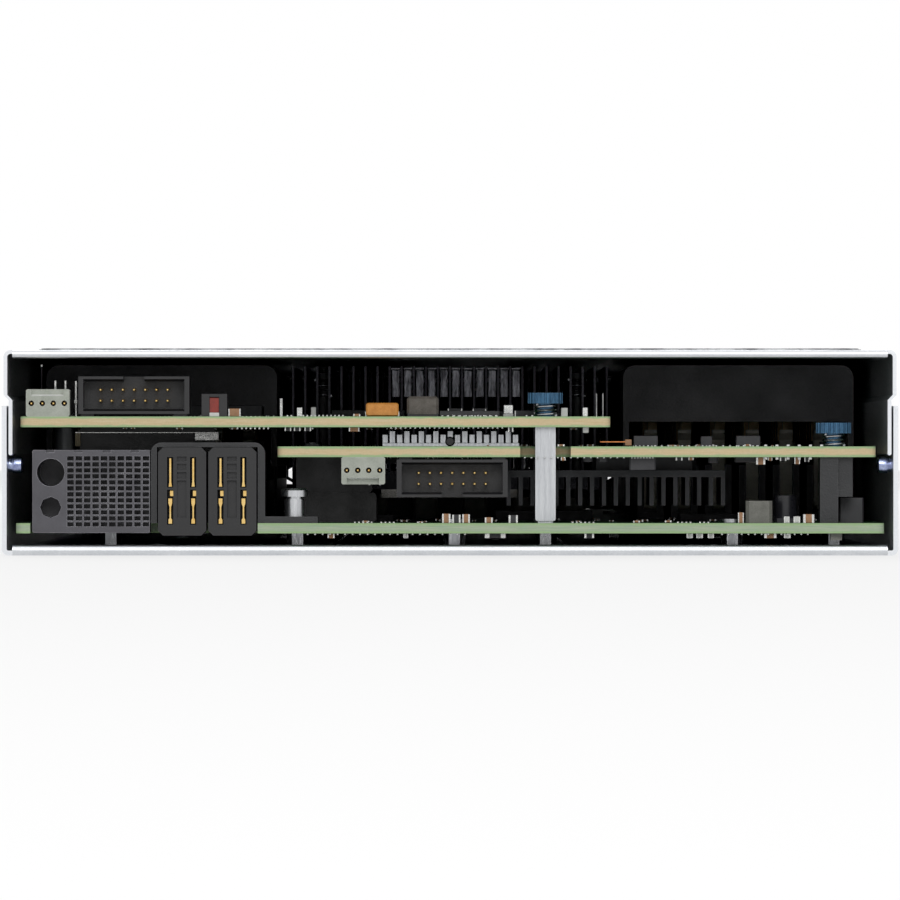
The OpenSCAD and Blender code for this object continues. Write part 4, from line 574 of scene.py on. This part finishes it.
def make_finishes(looks):
    """Makes every finish once and keeps it by name."""
    sheet, board, plastic = looks.sheet, looks.board, looks.plastic
    f = FINISHES
    bright = tone(236, 237, 238)
    f["zinc"] = finish("Zinc sheet", sheet.sheet, sheet.sheet_shade, 0.36, 1.0,
                       stretch=(1, 0.12, 1), size=0.012, fine=0.0006, relief=0.02, wear=0.7,
                       worn=bright, worn_width=sheet.wear_width, dust=0.04, spread=0.06)
    # cover sheet: zinc with painted shade on the step of its raised panel
    f["cover"] = finish("Cover sheet", sheet.sheet, sheet.sheet_shade, 0.36, 1.0,
                        stretch=(1, 0.12, 1), size=0.012, fine=0.0006, relief=0.02, wear=0.5,
                        worn=bright, worn_width=sheet.wear_width, dust=0.04, spread=0.06,
                        shading=painted_step_shade(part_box("top_cover")[1].z - 0.43 * MM))
    f["steel"] = finish("Plated steel", tone(205, 206, 208), tone(170, 172, 176), 0.3, 1.0,
                        stretch=(1, 1, 0.15), size=0.003, wear=0.4, worn=bright)
    f["post"] = finish("Milled aluminium", tone(196, 198, 200), tone(168, 170, 174), 0.42, 0.85,
                       stretch=(6, 6, 0.3), size=0.004, fine=0.0005, relief=0.03, wear=0.5,
                       worn=bright)
    f["stud"] = finish("Guide stud", tone(176, 186, 214), tone(120, 128, 168), 0.16, 1.0,
                       size=0.0015, relief=0.01)
    f["spring"] = finish("Spring wire", tone(186, 188, 190), tone(132, 134, 138), 0.22, 1.0,
                         size=0.002, relief=0.01)
    f["blue metal"] = finish("Blue anodised", sheet.blue, sheet.blue_deep, 0.34, 0.55,
                             stretch=(1, 1, 0.4), size=0.0012, fine=0.0003, wear=0.55,
                             worn=tone(150, 180, 200), worn_width=0.15 * MM)
    f["blue plastic"] = finish("Blue plastic", tone(38, 92, 150), tone(30, 76, 128), 0.38,
                               size=0.006, fine=0.0003, relief=0.02, wear=0.3,
                               worn=tone(110, 150, 190), worn_width=0.25 * MM, dust=0.1)
    f["white plastic"] = finish("White plastic", tone(224, 224, 220), tone(210, 210, 205), 0.4,
                                size=0.006, fine=0.0003, relief=0.02, dust=0.08)
    # wire header nylon with painted highlight on its sloping faces
    f["ivory"] = finish("Wire header nylon", plastic.ivory, tone(150, 156, 144), 0.42,
                        size=0.003, fine=0.00025, relief=0.03, wear=0.4,
                        worn=tone(240, 240, 236), worn_width=0.2 * MM, shading=painted_slope_highlight)
    f["latch"] = finish("Latch nylon", tone(222, 218, 204), tone(204, 199, 184), 0.4,
                        size=0.004, relief=0.02, dust=0.1)
    f["grey housing"] = finish("Connector grey", plastic.grey, tone(68, 67, 72), 0.4,
                               size=0.005, fine=0.0003, relief=0.03, wear=0.8,
                               worn=tone(206, 205, 212), worn_width=0.22 * MM)
    f["black housing"] = finish("Connector black", plastic.black, tone(17, 17, 19), 0.42,
                                size=0.005, fine=0.0003, relief=0.03, wear=0.5,
                                worn=tone(66, 67, 71), worn_width=0.2 * MM)
    f["socket"] = finish("Socket black", tone(42, 43, 47), tone(32, 33, 37), 0.46, size=0.006,
                         fine=0.0003, relief=0.03, wear=0.35, worn=tone(80, 81, 86), dust=0.12)
    f["gold"] = finish("Gold contact", tone(236, 206, 140), tone(206, 168, 96), 0.3, 1.0,
                       size=0.0015, fine=0.0002, relief=0.008)
    f["solder"] = finish("Solder", board.solder, tone(176, 177, 176), 0.26, 0.9, size=0.0009,
                         fine=0.0002, relief=0.04)
    f["bracket"] = finish("Painted bracket", tone(34, 35, 37), tone(24, 25, 27), 0.44,
                          size=0.006, fine=0.0004, relief=0.05, wear=0.45,
                          worn=tone(110, 110, 112), dust=0.1)
    f["chip"] = finish("Chip body", tone(46, 46, 49), tone(34, 34, 37), 0.55, size=0.004,
                       fine=0.00015, relief=0.03, wear=0.25, worn=tone(84, 84, 88), dust=0.12)
    f["ferrite"] = finish("Ferrite", tone(136, 135, 128), tone(112, 111, 105), 0.6, size=0.002,
                          fine=0.00025, relief=0.06, wear=0.3, worn=tone(168, 166, 158))
    f["can"] = finish("Capacitor can", tone(196, 198, 202), tone(160, 162, 168), 0.3, 0.9,
                      size=0.003, relief=0.01)
    f["can sleeve"] = finish("Capacitor sleeve", tone(40, 40, 46), tone(28, 28, 32), 0.3,
                             size=0.003, relief=0.01)
    f["tantalum"] = finish("Tantalum orange", tone(214, 148, 66), tone(186, 120, 48), 0.5,
                           size=0.0015, fine=0.0002, relief=0.04, wear=0.4,
                           worn=tone(238, 190, 122), worn_width=0.2 * MM)
    f["inductor"] = finish("Moulded inductor", tone(98, 93, 86), tone(76, 71, 65), 0.65,
                           size=0.0012, fine=0.00025, relief=0.08, wear=0.3,
                           worn=tone(128, 122, 114), worn_width=0.25 * MM)
    f["ceramic"] = finish("Ceramic tan", tone(170, 128, 92), tone(148, 108, 76), 0.5,
                          size=0.0012, fine=0.0002, relief=0.03)
    f["resistor"] = finish("Resistor black", tone(40, 40, 42), tone(28, 28, 30), 0.4,
                           size=0.001, fine=0.0002, relief=0.02)
    f["red cap"] = finish("Red cap", plastic.red, tone(112, 34, 24), 0.42, size=0.002,
                          fine=0.0003, relief=0.02)
    f["beige"] = finish("Beige housing", tone(196, 182, 146), tone(172, 158, 122), 0.5,
                        size=0.003, fine=0.0003, relief=0.03)
    f["black fins"] = finish("Black anodised", tone(34, 35, 38), tone(22, 23, 25), 0.38, 0.5,
                             stretch=(1, 0.2, 1), size=0.005, fine=0.0004, relief=0.02,
                             wear=0.5, worn=tone(120, 122, 126), worn_width=0.2 * MM)
    # fin aluminium with painted shade on the sheared fin ends
    f["fins"] = finish("Fin aluminium", tone(206, 208, 212), tone(176, 178, 184), 0.3, 1.0,
                       stretch=(1, 0.1, 0.5), size=0.006, fine=0.0004, relief=0.02, dust=0.05,
                       shading=painted_fin_end_shade)
    # pale webs between the fins: painted reflection of the light in the gaps
    f["fold"] = finish("Folded fin painted reflection", tone(226, 226, 234), tone(120, 120, 128), 0.4, 0.6,
                       stretch=(2.5, 1, 0.35), size=0.0016, fine=0.0003, relief=0.03,
                       spread=0.15)
    f["lid"] = finish("Nickel lid", tone(200, 198, 192), tone(176, 174, 168), 0.28, 1.0,
                      size=0.01, fine=0.0005, relief=0.015)
    f["baffle"] = finish("Baffle plastic", plastic.baffle, tone(52, 52, 56), 0.42, size=0.012,
                         fine=0.0005, relief=0.04, wear=0.25, worn=tone(96, 96, 100), dust=0.1)
    f["drive"] = finish("Drive shell", tone(176, 178, 182), tone(146, 148, 153), 0.4, 0.85,
                        size=0.01, fine=0.0004, relief=0.04, wear=0.4, worn=bright)
    f["sled"] = finish("Sled plastic", tone(50, 51, 55), tone(40, 41, 45), 0.5, size=0.006,
                       fine=0.00035, relief=0.05, wear=0.35, worn=tone(92, 93, 98), dust=0.08)
    f["lever"] = finish("Painted lever", tone(66, 68, 74), tone(54, 56, 61), 0.4, 0.3,
                        size=0.008, fine=0.0004, relief=0.03, wear=0.5, worn=tone(140, 142, 148),
                        dust=0.05)
    f["bezel"] = finish("Bezel plastic", tone(46, 47, 51), tone(38, 39, 42), 0.5, size=0.008,
                        fine=0.0004, relief=0.06, wear=0.35, worn=tone(88, 89, 94), dust=0.06)
    f["clear"] = finish("Light pipe", tone(232, 240, 236), tone(214, 224, 220), 0.12,
                        size=0.004, relief=0.005, spread=0.03, transmission=0.6)
    for name, node, core, skin in (
            ("motherboard", "motherboard", board.core_cool, 0.7 * MM),
            ("upper card", "upper_card", board.core, 0.62 * MM),
            ("lower card", "lower_card", board.core, 0.72 * MM)):
        low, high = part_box(node)
        f[name] = laminate(name.capitalize() + " laminate", (0, 0, 1), low.z, high.z, skin,
                           board.mask, board.mask_edge, core)
    low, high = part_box("drive_backplane")
    f["backplane"] = laminate("Backplane laminate", (0, 1, 0), low.y, high.y, 0.3 * MM,
                              board.mask, board.mask_edge, board.core)
    low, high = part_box("front_panel_board")
    f["panel board"] = laminate("Panel laminate", (0, 1, 0), low.y, high.y, 0.3 * MM,
                                board.mask, board.mask_edge, board.core)
    f["strip"] = finish("Copper strip", tone(214, 140, 84), tone(176, 104, 58), 0.32, 0.9,
                        size=0.002, relief=0.02)
    f["module"] = laminate("Memory laminate", (1, 0, 0), -1.0, 1.0, 0.1 * MM, board.mask,
                           board.mask_edge, board.core)


# ---------- pieces ----------

class BLADE_OT_enclosure(bpy.types.Operator):
    """Finishes the tray, the cover, its button and the guide studs"""
    bl_idname = "blade.enclosure"
    bl_label = "Enclosure"

    def execute(self, context):
        f = FINISHES
        dress(f["zinc"], "base_tray")
        dress(f["cover"], "top_cover")
        dress(f["stud"], "side_studs")
        dress(f["blue plastic"], "cover_button")
        return {"FINISHED"}


class BLADE_OT_motherboard(bpy.types.Operator):
    """Finishes the motherboard and the parts soldered to it"""
    bl_idname = "blade.motherboard"
    bl_label = "Motherboard"

    def execute(self, context):
        f = FINISHES
        dress(f["motherboard"], "motherboard")
        dress(f["steel"], "board_standoffs", "bracket_screw")
        dress(f["chip"], "board_chips")
        dress(f["ferrite"], "board_chokes")
        dress(f["can sleeve"], "board_capacitors")
        self.small_parts(random.Random(context.scene.blade_looks.stage.seed + 1))
        return {"FINISHED"}

    def small_parts(self, draw):
        """Small parts along the rear edge of the motherboard and scattered over it."""
        f = FINISHES
        dark, tan, tin, white, grey = range(5)
        form = Form(f["chip"], f["ceramic"], f["solder"], f["white plastic"], f["ferrite"])
        top = BoardFace(form, "motherboard", True)
        for x, w, l, h, mark in ((96.7, 1.9, 1.2, 2.1, tan), (99, 1.9, 1.2, 1.9, dark),
                                 (101.3, 1.7, 1.2, 2, tan), (106.4, 1.8, 1.1, 1.3, tan),
                                 (111.8, 2.1, 1.4, 1.8, dark), (163.9, 1.3, 1, 2.4, tan),
                                 (174.3, 1.3, 1, 1.5, white), (176.5, 1.5, 1, 1.5, white),
                                 (178.7, 2.5, 1.5, 2, tan)):
            top.capped(x, 2.5, w, l, h, mark, tin, w * 0.24)
        for x, count in ((76.7, 5), (82.7, 4), (91, 2), (126.1, 6), (150, 4), (155, 3)):
            top.row(x, 1, count, 0.95, 0.42, 0.6, 0.35, tin)
        top.scatter(draw, 60, (60, 190), (4, 120), tan, tin)
        top.scatter(draw, 40, (4, 190), (200, 240), dark, tin)
        under = BoardFace(form, "motherboard", False)
        for x, w, mark in ((152.2, 1.4, white), (154.4, 1.5, white), (157, 1.4, white),
                           (169.8, 2.8, tan), (174.3, 1.5, white), (70.7, 1.6, tan),
                           (87.9, 1.1, white), (106.4, 4.7, dark), (129, 2.2, dark)):
            under.capped(x, 2, w, 1, 1.1, mark, tin, w * 0.24)
        under.box(184.9, 2, 2.6, 2.6, 1.6, grey)
        under.row(160, 1, 14, 1.5, 0.4, 0.5, 0.4, tin)
        under.row(66, 1, 22, 1.7, 0.4, 0.5, 0.4, tin)
        form.piece("board_small_parts", "chassis")


class BLADE_OT_rear_connectors(bpy.types.Operator):
    """Finishes the signal and power connectors under their bracket"""
    bl_idname = "blade.rear_connectors"
    bl_label = "Rear connectors"

    def execute(self, context):
        f = FINISHES
        dress(f["grey housing"], "signal_connector")
        dress(f["black housing"], "power_connectors")
        dress(f["gold"], "power_contacts")
        dress(f["bracket"], "connector_bracket")
        # metal edge and corner blocks of the connector under the upper card; the thin bright strip and
        # pale blocks are partly painted highlights
        form = Form(f["solder"], f["beige"])
        low, high = box_mm("signal_connector")
        under, face = box_mm("upper_card")[0].z, low.y + 28.9
        form.block((low.x + 8.5, low.x + 41.5), (face - 0.2, face), (under - 1.3, under - 1.08),
                   cut=0.03)
        form.block((low.x + 8.5, low.x + 9.7), (face - 0.3, face), (under - 4.3, under - 1.3), 1)
        form.block((low.x + 36, low.x + 41.5), (face - 0.3, face), (under - 3, under - 1.3))
        form.piece("card_connector_trim_and_highlights", "chassis")
        return {"FINISHED"}


class BLADE_OT_cards(bpy.types.Operator):
    """Finishes both mezzanine cards, their posts, connectors and headers"""
    bl_idname = "blade.cards"
    bl_label = "Mezzanine cards"

    def execute(self, context):
        f = FINISHES
        dress(f["upper card"], "upper_card")
        dress(f["lower card"], "lower_card")
        dress(f["post"], "card_posts")
        dress(f["bracket"], "support_block")
        dress(f["black housing"], "card_connectors", "box_headers")
        dress(f["ivory"], "pin_headers")
        self.pins()
        dress(f["black fins"], "card_heatsink")
        dress(f["chip"], "lower_card_parts")
        draw = random.Random(context.scene.blade_looks.stage.seed)
        self.upper_parts(draw)
        self.lower_parts(draw)
        self.chip_fins()
        return {"FINISHED"}

    def upper_parts(self, draw):
        """Parts of the upper card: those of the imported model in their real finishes, and
        the small ones round them."""
        f = FINISHES
        black, red, tan, orange, brown, dark, tin, white = range(8)
        form = Form(f["black housing"], f["red cap"], f["ceramic"], f["tantalum"],
                    f["inductor"], f["chip"], f["solder"], f["white plastic"])
        top = BoardFace(form, "upper_card", True)
        # jumper block: a black frame round its red cap
        for x, w in ((41.1, 1.9), (45.1, 1.9)):
            top.box(x, 1, w, 8, 5.2, black)
        top.box(42.9, 1, 2.3, 8, 0.9, white)
        top.box(42.9, 1.3, 2.3, 7.4, 3.4, red, 0.9)
        top.box(42.9, 1, 2.3, 8, 0.8, black, 4.4)
        top.capped(47.2, 2, 2.8, 4, 1.8, tan, tin)
        top.box(78.5, 1.5, 7.4, 4.3, 3.1, orange, 0, 0.35)
        for x in (78.3, 85.5):
            top.box(x, 2.4, 0.6, 2.5, 1.2, tin)
        top.box(87.8, 3, 7.2, 7.2, 4.6, brown, 0, 0.55)
        top.box(87.9, 3.1, 7, 7, 0.9, dark, 0, 0.1)
        for x, w in ((97.1, 3.3), (102.8, 3.1)):
            top.capped(x, 16, w, 5, 1.9, dark, tin, 0.3)
        top.chip(95.2, 5, 13.7, 9, 1.2, dark, tin, 11)
        top.box(109.8, 15, 2.3, 3, 0.7, white)
        top.box(109.9, 15.1, 2.1, 2.8, 2, tin, 0.7)
        top.chip(30, 40, 24, 24, 2.6, dark, tin, 24)
        top.chip(70, 50, 17, 17, 1.6, dark, tin, 18)
        top.chip(102, 60, 12, 20, 1.4, dark, tin, 12)
        # solder joints and small parts near the rear edge
        top.row(64.1, 0.4, 11, 0.9, 0.36, 0.5, 0.4, tin)
        top.row(60.5, 0.6, 2, 0.9, 0.36, 0.5, 0.35, tin)
        top.row(97, 1, 9, 1.35, 0.4, 0.5, 0.35, tin)
        top.box(58.5, 22, 0.7, 0.7, 4.3, tin)
        top.capped(62.7, 9, 1.2, 0.9, 2.1, tin, tin)
        top.box(65.8, 16, 1.1, 1.4, 2.2, white)
        top.capped(75.6, 2, 1.6, 0.8, 0.6, tan, tin)
        top.capped(112.4, 14, 4.6, 2.2, 1.4, dark, tin, 0.3)
        top.box(122.9, 6, 1.5, 1.2, 2, white)
        top.box(127.8, 7, 1.2, 1, 2.1, tin)
        top.row(114.8, 1, 2, 1.3, 0.4, 0.5, 0.35, tin)
        for x in (131.2, 132.7):
            top.box(x, 30, 0.3, 0.8, 5.5, tin)
        for x, high in ((7.2, 8.3), (9.5, 8.3), (11.9, 8.2)):
            top.box(x, 12, 0.5, 0.5, high, tin)
        top.box(4, 16, 0.25, 0.8, 11.9, dark)
        top.box(3.9, 15.9, 0.45, 0.6, 0.6, tin, 11.4)
        top.box(11.7, 11.8, 0.8, 0.9, 0.9, tin, 3)
        top.scatter(draw, 26, (2, 128), (17, 98), dark, tin)
        under = BoardFace(form, "upper_card", False)
        under.row(49.1, 1, 8, 1, 0.4, 0.6, 0.5, tin)
        for x in (60, 62.1, 64.5):
            under.capped(x, 2, 1.5, 0.9, 0.9, dark, tin)
        under.capped(74.6, 2, 2.4, 1.3, 1, tan, tin)
        under.row(84, 0.8, 24, 1.1, 0.4, 0.5, 0.35, tin)
        under.capped(110.8, 2, 1.2, 0.9, 1.1, dark, tin)
        under.box(127.8, 2, 1.3, 1, 1.3, white)
        under.scatter(draw, 30, (14, 128), (4, 95), tan, tin)
        form.piece("upper_card_components", "chassis",
                   replaces=["upper_card_parts"])

    def lower_parts(self, draw):
        """Small parts on both faces of the lower card."""
        f = FINISHES
        dark, tan, tin, beige, copper = range(5)
        form = Form(f["chip"], f["ceramic"], f["solder"], f["beige"], f["strip"])
        top = BoardFace(form, "lower_card", True)
        top.box(73.3, 3, 5.8, 1.5, 0.3, copper, 0.9, 0.05)
        top.box(79, 3, 1.5, 1.5, 1.4, tan, 0.2)
        top.chip(81, 4, 5.5, 5, 2.3, dark, tin, 6)
        top.chip(96.4, 9, 2.6, 3, 2.2, dark, tin, 3)
        top.chip(104.5, 9, 5.5, 4, 2.3, dark, tin, 5)
        top.row(110.6, 1.2, 6, 2.54, 0.7, 0.7, 0.45, tin)
        top.row(84, 0.6, 17, 1.55, 0.4, 0.5, 0.3, tin)
        top.scatter(draw, 26, (45, 118), (4, 40), tan, tin)
        under = BoardFace(form, "lower_card", False)
        under.row(110.6, 1.2, 6, 2.54, 0.7, 0.7, 0.6, tin)
        under.row(80.4, 1.5, 8, 0.68, 0.3, 0.5, 0.35, tin)
        for x, w, l, h, mark in ((108.8, 2.1, 1.4, 1.7, tan), (111.5, 1, 0.8, 0.8, tan),
                                 (114.2, 1.5, 0.9, 0.9, dark), (117.5, 1.3, 0.9, 1.6, tan),
                                 (119.8, 1.1, 0.8, 1.1, dark), (64.4, 1.1, 0.8, 0.8, tan),
                                 (90.5, 1.6, 0.9, 0.8, dark), (93.4, 1.2, 0.8, 0.7, tan)):
            under.capped(x, 2.6, w, l, h, mark, tin, w * 0.25)
        under.row(56, 0.8, 16, 1.5, 0.4, 0.5, 0.3, tin)
        for x in (20.5, 22.9):
            under.box(x, 14, 0.6, 0.6, 6.5, tin)
        under.scatter(draw, 24, (4, 50), (16, 60), dark, tin)
        form.piece("lower_card_components", "chassis")

    def pins(self):
        """Header pins with tapered tips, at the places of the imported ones."""
        f = FINISHES
        form = Form(f["gold"])
        thick, blunt, taper = 0.64, 0.3, 0.9
        for header, node, count, pitch, rows, up, start, end in (
                ("box_headers", "upper_card", 7, 2.54, (3.6, 6.1), True, 1, 6.5),
                ("box_headers", "lower_card", 7, 2.54, (3.6, 6.1), False, 1, 6.5),
                ("pin_headers", "upper_card", 4, 2.5, (3,), True, 0.4, 7.5),
                ("pin_headers", "lower_card", 4, 2.5, (3,), False, 0.4, 7.5)):
            board = BoardFace(form, node, up)
            centre = {("box_headers", True): 25.8, ("box_headers", False): 39.7,
                      ("pin_headers", True): 6.25, ("pin_headers", False): 19.5}[header, up]
            for i in range(count):
                x = board.x + centre + (i - (count - 1) / 2) * pitch
                for row in rows:
                    z = board.z + board.way * row
                    rings = []
                    for y, wide in ((start, blunt), (start + taper, thick), (end, thick)):
                        h = wide / 2
                        y += board.y
                        rings.append([(x - h, y, z - h), (x + h, y, z - h), (x + h, y, z + h),
                                      (x - h, y, z + h)])
                    form.skin(rings)
        form.piece("header_pin_tips", "chassis", replaces=["header_pins"])

    def chip_fins(self):
        """Low finned heatsink on top of the lower card, and the head of its screw."""
        f = FINISHES
        silver, black = range(2)
        form = Form(f["post"], f["black housing"])
        top = BoardFace(form, "lower_card", True)
        left, width, length, base, pitch, thick = 23.8, 31.2, 30, 0.8, 1.65, 1.25
        top.box(left, 6, width, length, base, silver)
        for i in range(int(width / pitch) + 1):
            high = 3.55 if i % 2 else 2.75
            top.box(left + i * pitch, 6, min(thick, width - i * pitch), length,
                    high - base, silver, base - 0.02)
        centre = (top.x + 39.2, top.y + 5.9, top.z + 1.15)
        form.turned(centre, (0, -1, 0), [(0.01, -0.4), (1.1, -0.4), (1.1, 0.3), (0.8, 0.6),
                                         (0.01, 0.6)], black)
        form.piece("card_chip_fins", "chassis")


class BLADE_OT_thumbscrews(bpy.types.Operator):
    """Finishes the thumbscrews and winds their springs"""
    bl_idname = "blade.thumbscrews"
    bl_label = "Thumbscrews"

    def execute(self, context):
        f = FINISHES
        dress(f["blue metal"], "upper_thumbscrew", "lower_thumbscrew", "ejector_screw")
        form = Form(f["spring"])
        for screw, card in (("upper_thumbscrew", "upper_card"),
                            ("lower_thumbscrew", "lower_card")):
            low, high = box_mm(screw)
            top = box_mm(card)[1].z
            form.coil((low.x + high.x) / 2, (low.y + high.y) / 2, (top + 0.02, top + 2.98),
                      2.4, 0.6, 3.6, 0.15)
        form.piece("thumbscrew_spring_coils", "chassis",
                   replaces=["thumbscrew_springs"])
        return {"FINISHED"}


class BLADE_OT_processors(bpy.types.Operator):
    """Finishes the processors, their sockets and heatsinks"""
    bl_idname = "blade.processors"
    bl_label = "Processors and heatsinks"

    def execute(self, context):
        f = FINISHES
        dress(f["socket"], "cpu_sockets")
        dress(f["lid"], "processors")
        dress(f["fins"], "rear_heatsink", "front_heatsink")
        dress(f["bracket"], "heatsink_screws")
        # a spring under the head of each heatsink screw
        form = Form(f["spring"])
        top = box_mm("heatsink_screws")[1].z
        for sink in ("rear_heatsink", "front_heatsink"):
            low, high = box_mm(sink)
            middle = (low + high) / 2
            for x in (-31, 31):
                for y in (-47, 47):
                    form.coil(middle.x + x, middle.y + y, (top - 5.85, top - 1.35), 1.95,
                              0.55, 4.5)
        form.piece("heatsink_screw_springs", "chassis")
        self.folds()
        return {"FINISHED"}


    def folds(self):
        """Folded webs between the middle fins of the rear heatsink; their pale finish is painted
        reflection of the light in the gaps.
        """
        form = Form(FINISHES["fold"])
        low, high = box_mm("rear_heatsink")
        fins, fin_t, reach = 27, 0.5, 16
        pitch = (high.x - low.x - fin_t) / (fins - 1)
        for i in range(fins - 1):
            x = low.x + fin_t + i * pitch
            if abs(x) < reach:
                wide = pitch - fin_t
                form.block((x + 0.25, x + wide - 0.25), (low.y + 3, low.y + 3.4),
                           (high.z - 7.5, high.z - 0.9), cut=0.12)
                form.block((x + 0.1, x + wide - 0.1), (low.y + 1, low.y + 3),
                           (high.z - 0.8, high.z - 0.3), cut=0.1)
        form.piece("rear_heatsink_folds_painted_reflection", "chassis")


class BLADE_OT_memory(bpy.types.Operator):
    """Finishes the memory sockets, modules, latches and air baffles"""
    bl_idname = "blade.memory"
    bl_label = "Memory and baffles"

    def execute(self, context):
        f = FINISHES
        dress(f["socket"], "memory_sockets")
        dress(f["module"], "memory_modules")
        dress(f["latch"], "rear_bank_rear_latches", "rear_bank_front_latches",
              "front_bank_rear_latches", "front_bank_front_latches")
        dress(f["baffle"], "left_air_baffle", "right_air_baffle")
        return {"FINISHED"}


class BLADE_OT_drives(bpy.types.Operator):
    """Finishes the drive cage, backplane, sleds and drives"""
    bl_idname = "blade.drives"
    bl_label = "Drives"

    def execute(self, context):
        f = FINISHES
        dress(f["zinc"], "drive_cage")
        dress(f["backplane"], "drive_backplane")
        dress(f["black housing"], "backplane_connectors")
        dress(f["sled"], "left_sled", "right_sled")
        dress(f["drive"], "left_drive", "right_drive")
        dress(f["lever"], "left_sled_lever", "right_sled_lever")
        dress(f["blue plastic"], "left_sled_button", "right_sled_button")
        return {"FINISHED"}


class BLADE_OT_front(bpy.types.Operator):
    """Finishes the bezel, its buttons, light pipes and the ejector"""
    bl_idname = "blade.front"
    bl_label = "Front"

    def execute(self, context):
        f = FINISHES
        dress(f["bezel"], "front_bezel")
        dress(f["panel board"], "front_panel_board")
        dress(f["black housing"], "console_connector")
        dress(f["white plastic"], "power_button")
        dress(f["blue plastic"], "locator_button")
        dress(f["clear"], "light_pipes")
        dress(f["steel"], "ejector_lever")
        return {"FINISHED"}


# ---------- stage ----------

class BLADE_OT_stage(bpy.types.Operator):
    """Sets up the camera, a pale floor and plain soft light"""
    bl_idname = "blade.stage"
    bl_label = "Stage"

    def execute(self, context):
        looks = context.scene.blade_looks.stage
        camera = bpy.data.objects.new("Camera", bpy.data.cameras.new("Camera"))
        context.scene.collection.objects.link(camera)
        camera.location = (0, -looks.camera_y, looks.camera_z)
        camera.rotation_euler = (math.radians(90), 0, 0)
        camera.data.lens = looks.lens
        camera.data.sensor_width = 36
        camera.data.clip_start, camera.data.clip_end = 0.05, 50
        context.scene.camera = camera
        self.floor(context)
        self.sky(context, looks.sky)
        self.lamp(context, "Rear softbox", (0.2, -2.6, 1.5), (0, -0.3, 0), 1.8, looks.softbox)
        self.lamp(context, "Front softbox", (-0.5, 2.4, 1.6), (0, 0.2, 0), 1.8,
                  looks.softbox * 0.7)
        context.scene.view_settings.view_transform = "Standard"
        return {"FINISHED"}

    def floor(self, context):
        half = 8
        mesh = bpy.data.meshes.new("Floor")
        mesh.from_pydata([(-half, -half, 0), (half, -half, 0), (half, half, 0),
                          (-half, half, 0)], [], [(0, 1, 2, 3)])
        floor = bpy.data.objects.new("Floor", mesh)
        context.scene.collection.objects.link(floor)
        floor.location.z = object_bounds()[0].z - 0.05 * MM
        made, web, shader = start_material("Pale floor")
        shader.inputs["Base Color"].default_value = (0.86, 0.86, 0.86, 1)
        shader.inputs["Roughness"].default_value = 0.9
        path = web.add("ShaderNodeLightPath").outputs
        seen = web.math("MAXIMUM", path["Is Camera Ray"], path["Is Glossy Ray"])
        seen = web.math("MAXIMUM", seen, path["Is Transmission Ray"])
        glow = web.add("ShaderNodeEmission", {"Strength": 1.0})
        part = web.math("MULTIPLY", seen, 0.7)
        both = web.add("ShaderNodeMixShader", {0: part, 1: shader.outputs[0],
                                               2: glow.outputs[0]})
        out = next(n for n in made.node_tree.nodes if n.type == "OUTPUT_MATERIAL")
        web.tree.links.new(both.outputs[0], out.inputs["Surface"])
        mesh.materials.append(made)
        floor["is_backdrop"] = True

    def sky(self, context, strength):
        world = bpy.data.worlds.new("Sky")
        context.scene.world = world
        world.use_nodes = True
        web = Web(world.node_tree)
        ground = next(n for n in world.node_tree.nodes if n.type == "BACKGROUND")
        path = web.add("ShaderNodeLightPath").outputs
        seen = web.math("MAXIMUM", path["Is Camera Ray"], path["Is Glossy Ray"])
        seen = web.math("MAXIMUM", seen, path["Is Transmission Ray"])
        ground.inputs["Color"].default_value = (1, 1, 1, 1)
        web.tree.links.new(web.ramp(seen, 0.0, 1.0, strength, 1.0), ground.inputs["Strength"])

    def lamp(self, context, name, place, target, size, power):
        data = bpy.data.lights.new(name, "AREA")
        data.shape = "DISK"
        data.size, data.energy = size, power
        made = bpy.data.objects.new(name, data)
        context.scene.collection.objects.link(made)
        made.location = place
        made.rotation_euler = (Vector(target) - Vector(place)).to_track_quat("-Z", "Y").to_euler()


# ---------- sidebar ----------

STEPS = (BLADE_OT_enclosure, BLADE_OT_motherboard, BLADE_OT_rear_connectors, BLADE_OT_cards,
         BLADE_OT_thumbscrews, BLADE_OT_processors, BLADE_OT_memory, BLADE_OT_drives,
         BLADE_OT_front, BLADE_OT_stage)
GROUPS = (BladeSheetLooks, BladeBoardLooks, BladePlasticLooks, BladeStageLooks, BladeLooks)


class BLADE_PT_sidebar(bpy.types.Panel):
    """Sizes, colours and build steps of the blade server"""
    bl_idname = "BLADE_PT_sidebar"
    bl_label = "Blade server"
    bl_space_type = "VIEW_3D"
    bl_region_type = "UI"
    bl_category = "Blade"

    def draw(self, context):
        looks = context.scene.blade_looks
        for part in (looks.sheet, looks.board, looks.plastic, looks.stage):
            column = self.layout.column(align=True)
            for key in part.bl_rna.properties.keys():
                if key not in ("rna_type", "name"):
                    column.prop(part, key)
        for step in STEPS:
            self.layout.operator(step.bl_idname)


def register():
    for group in GROUPS + STEPS + (BLADE_PT_sidebar,):
        bpy.utils.register_class(group)
    bpy.types.Scene.blade_looks = PointerProperty(type=BladeLooks)


def unregister():
    del bpy.types.Scene.blade_looks
    for group in reversed(GROUPS + STEPS + (BLADE_PT_sidebar,)):
        bpy.utils.unregister_class(group)


def main():
    register()
    make_effects()
    make_finishes(bpy.context.scene.blade_looks)
    for step in STEPS:
        area, name = step.bl_idname.split(".")
        getattr(getattr(bpy.ops, area), name)()


if __name__ == "__main__":
    main()
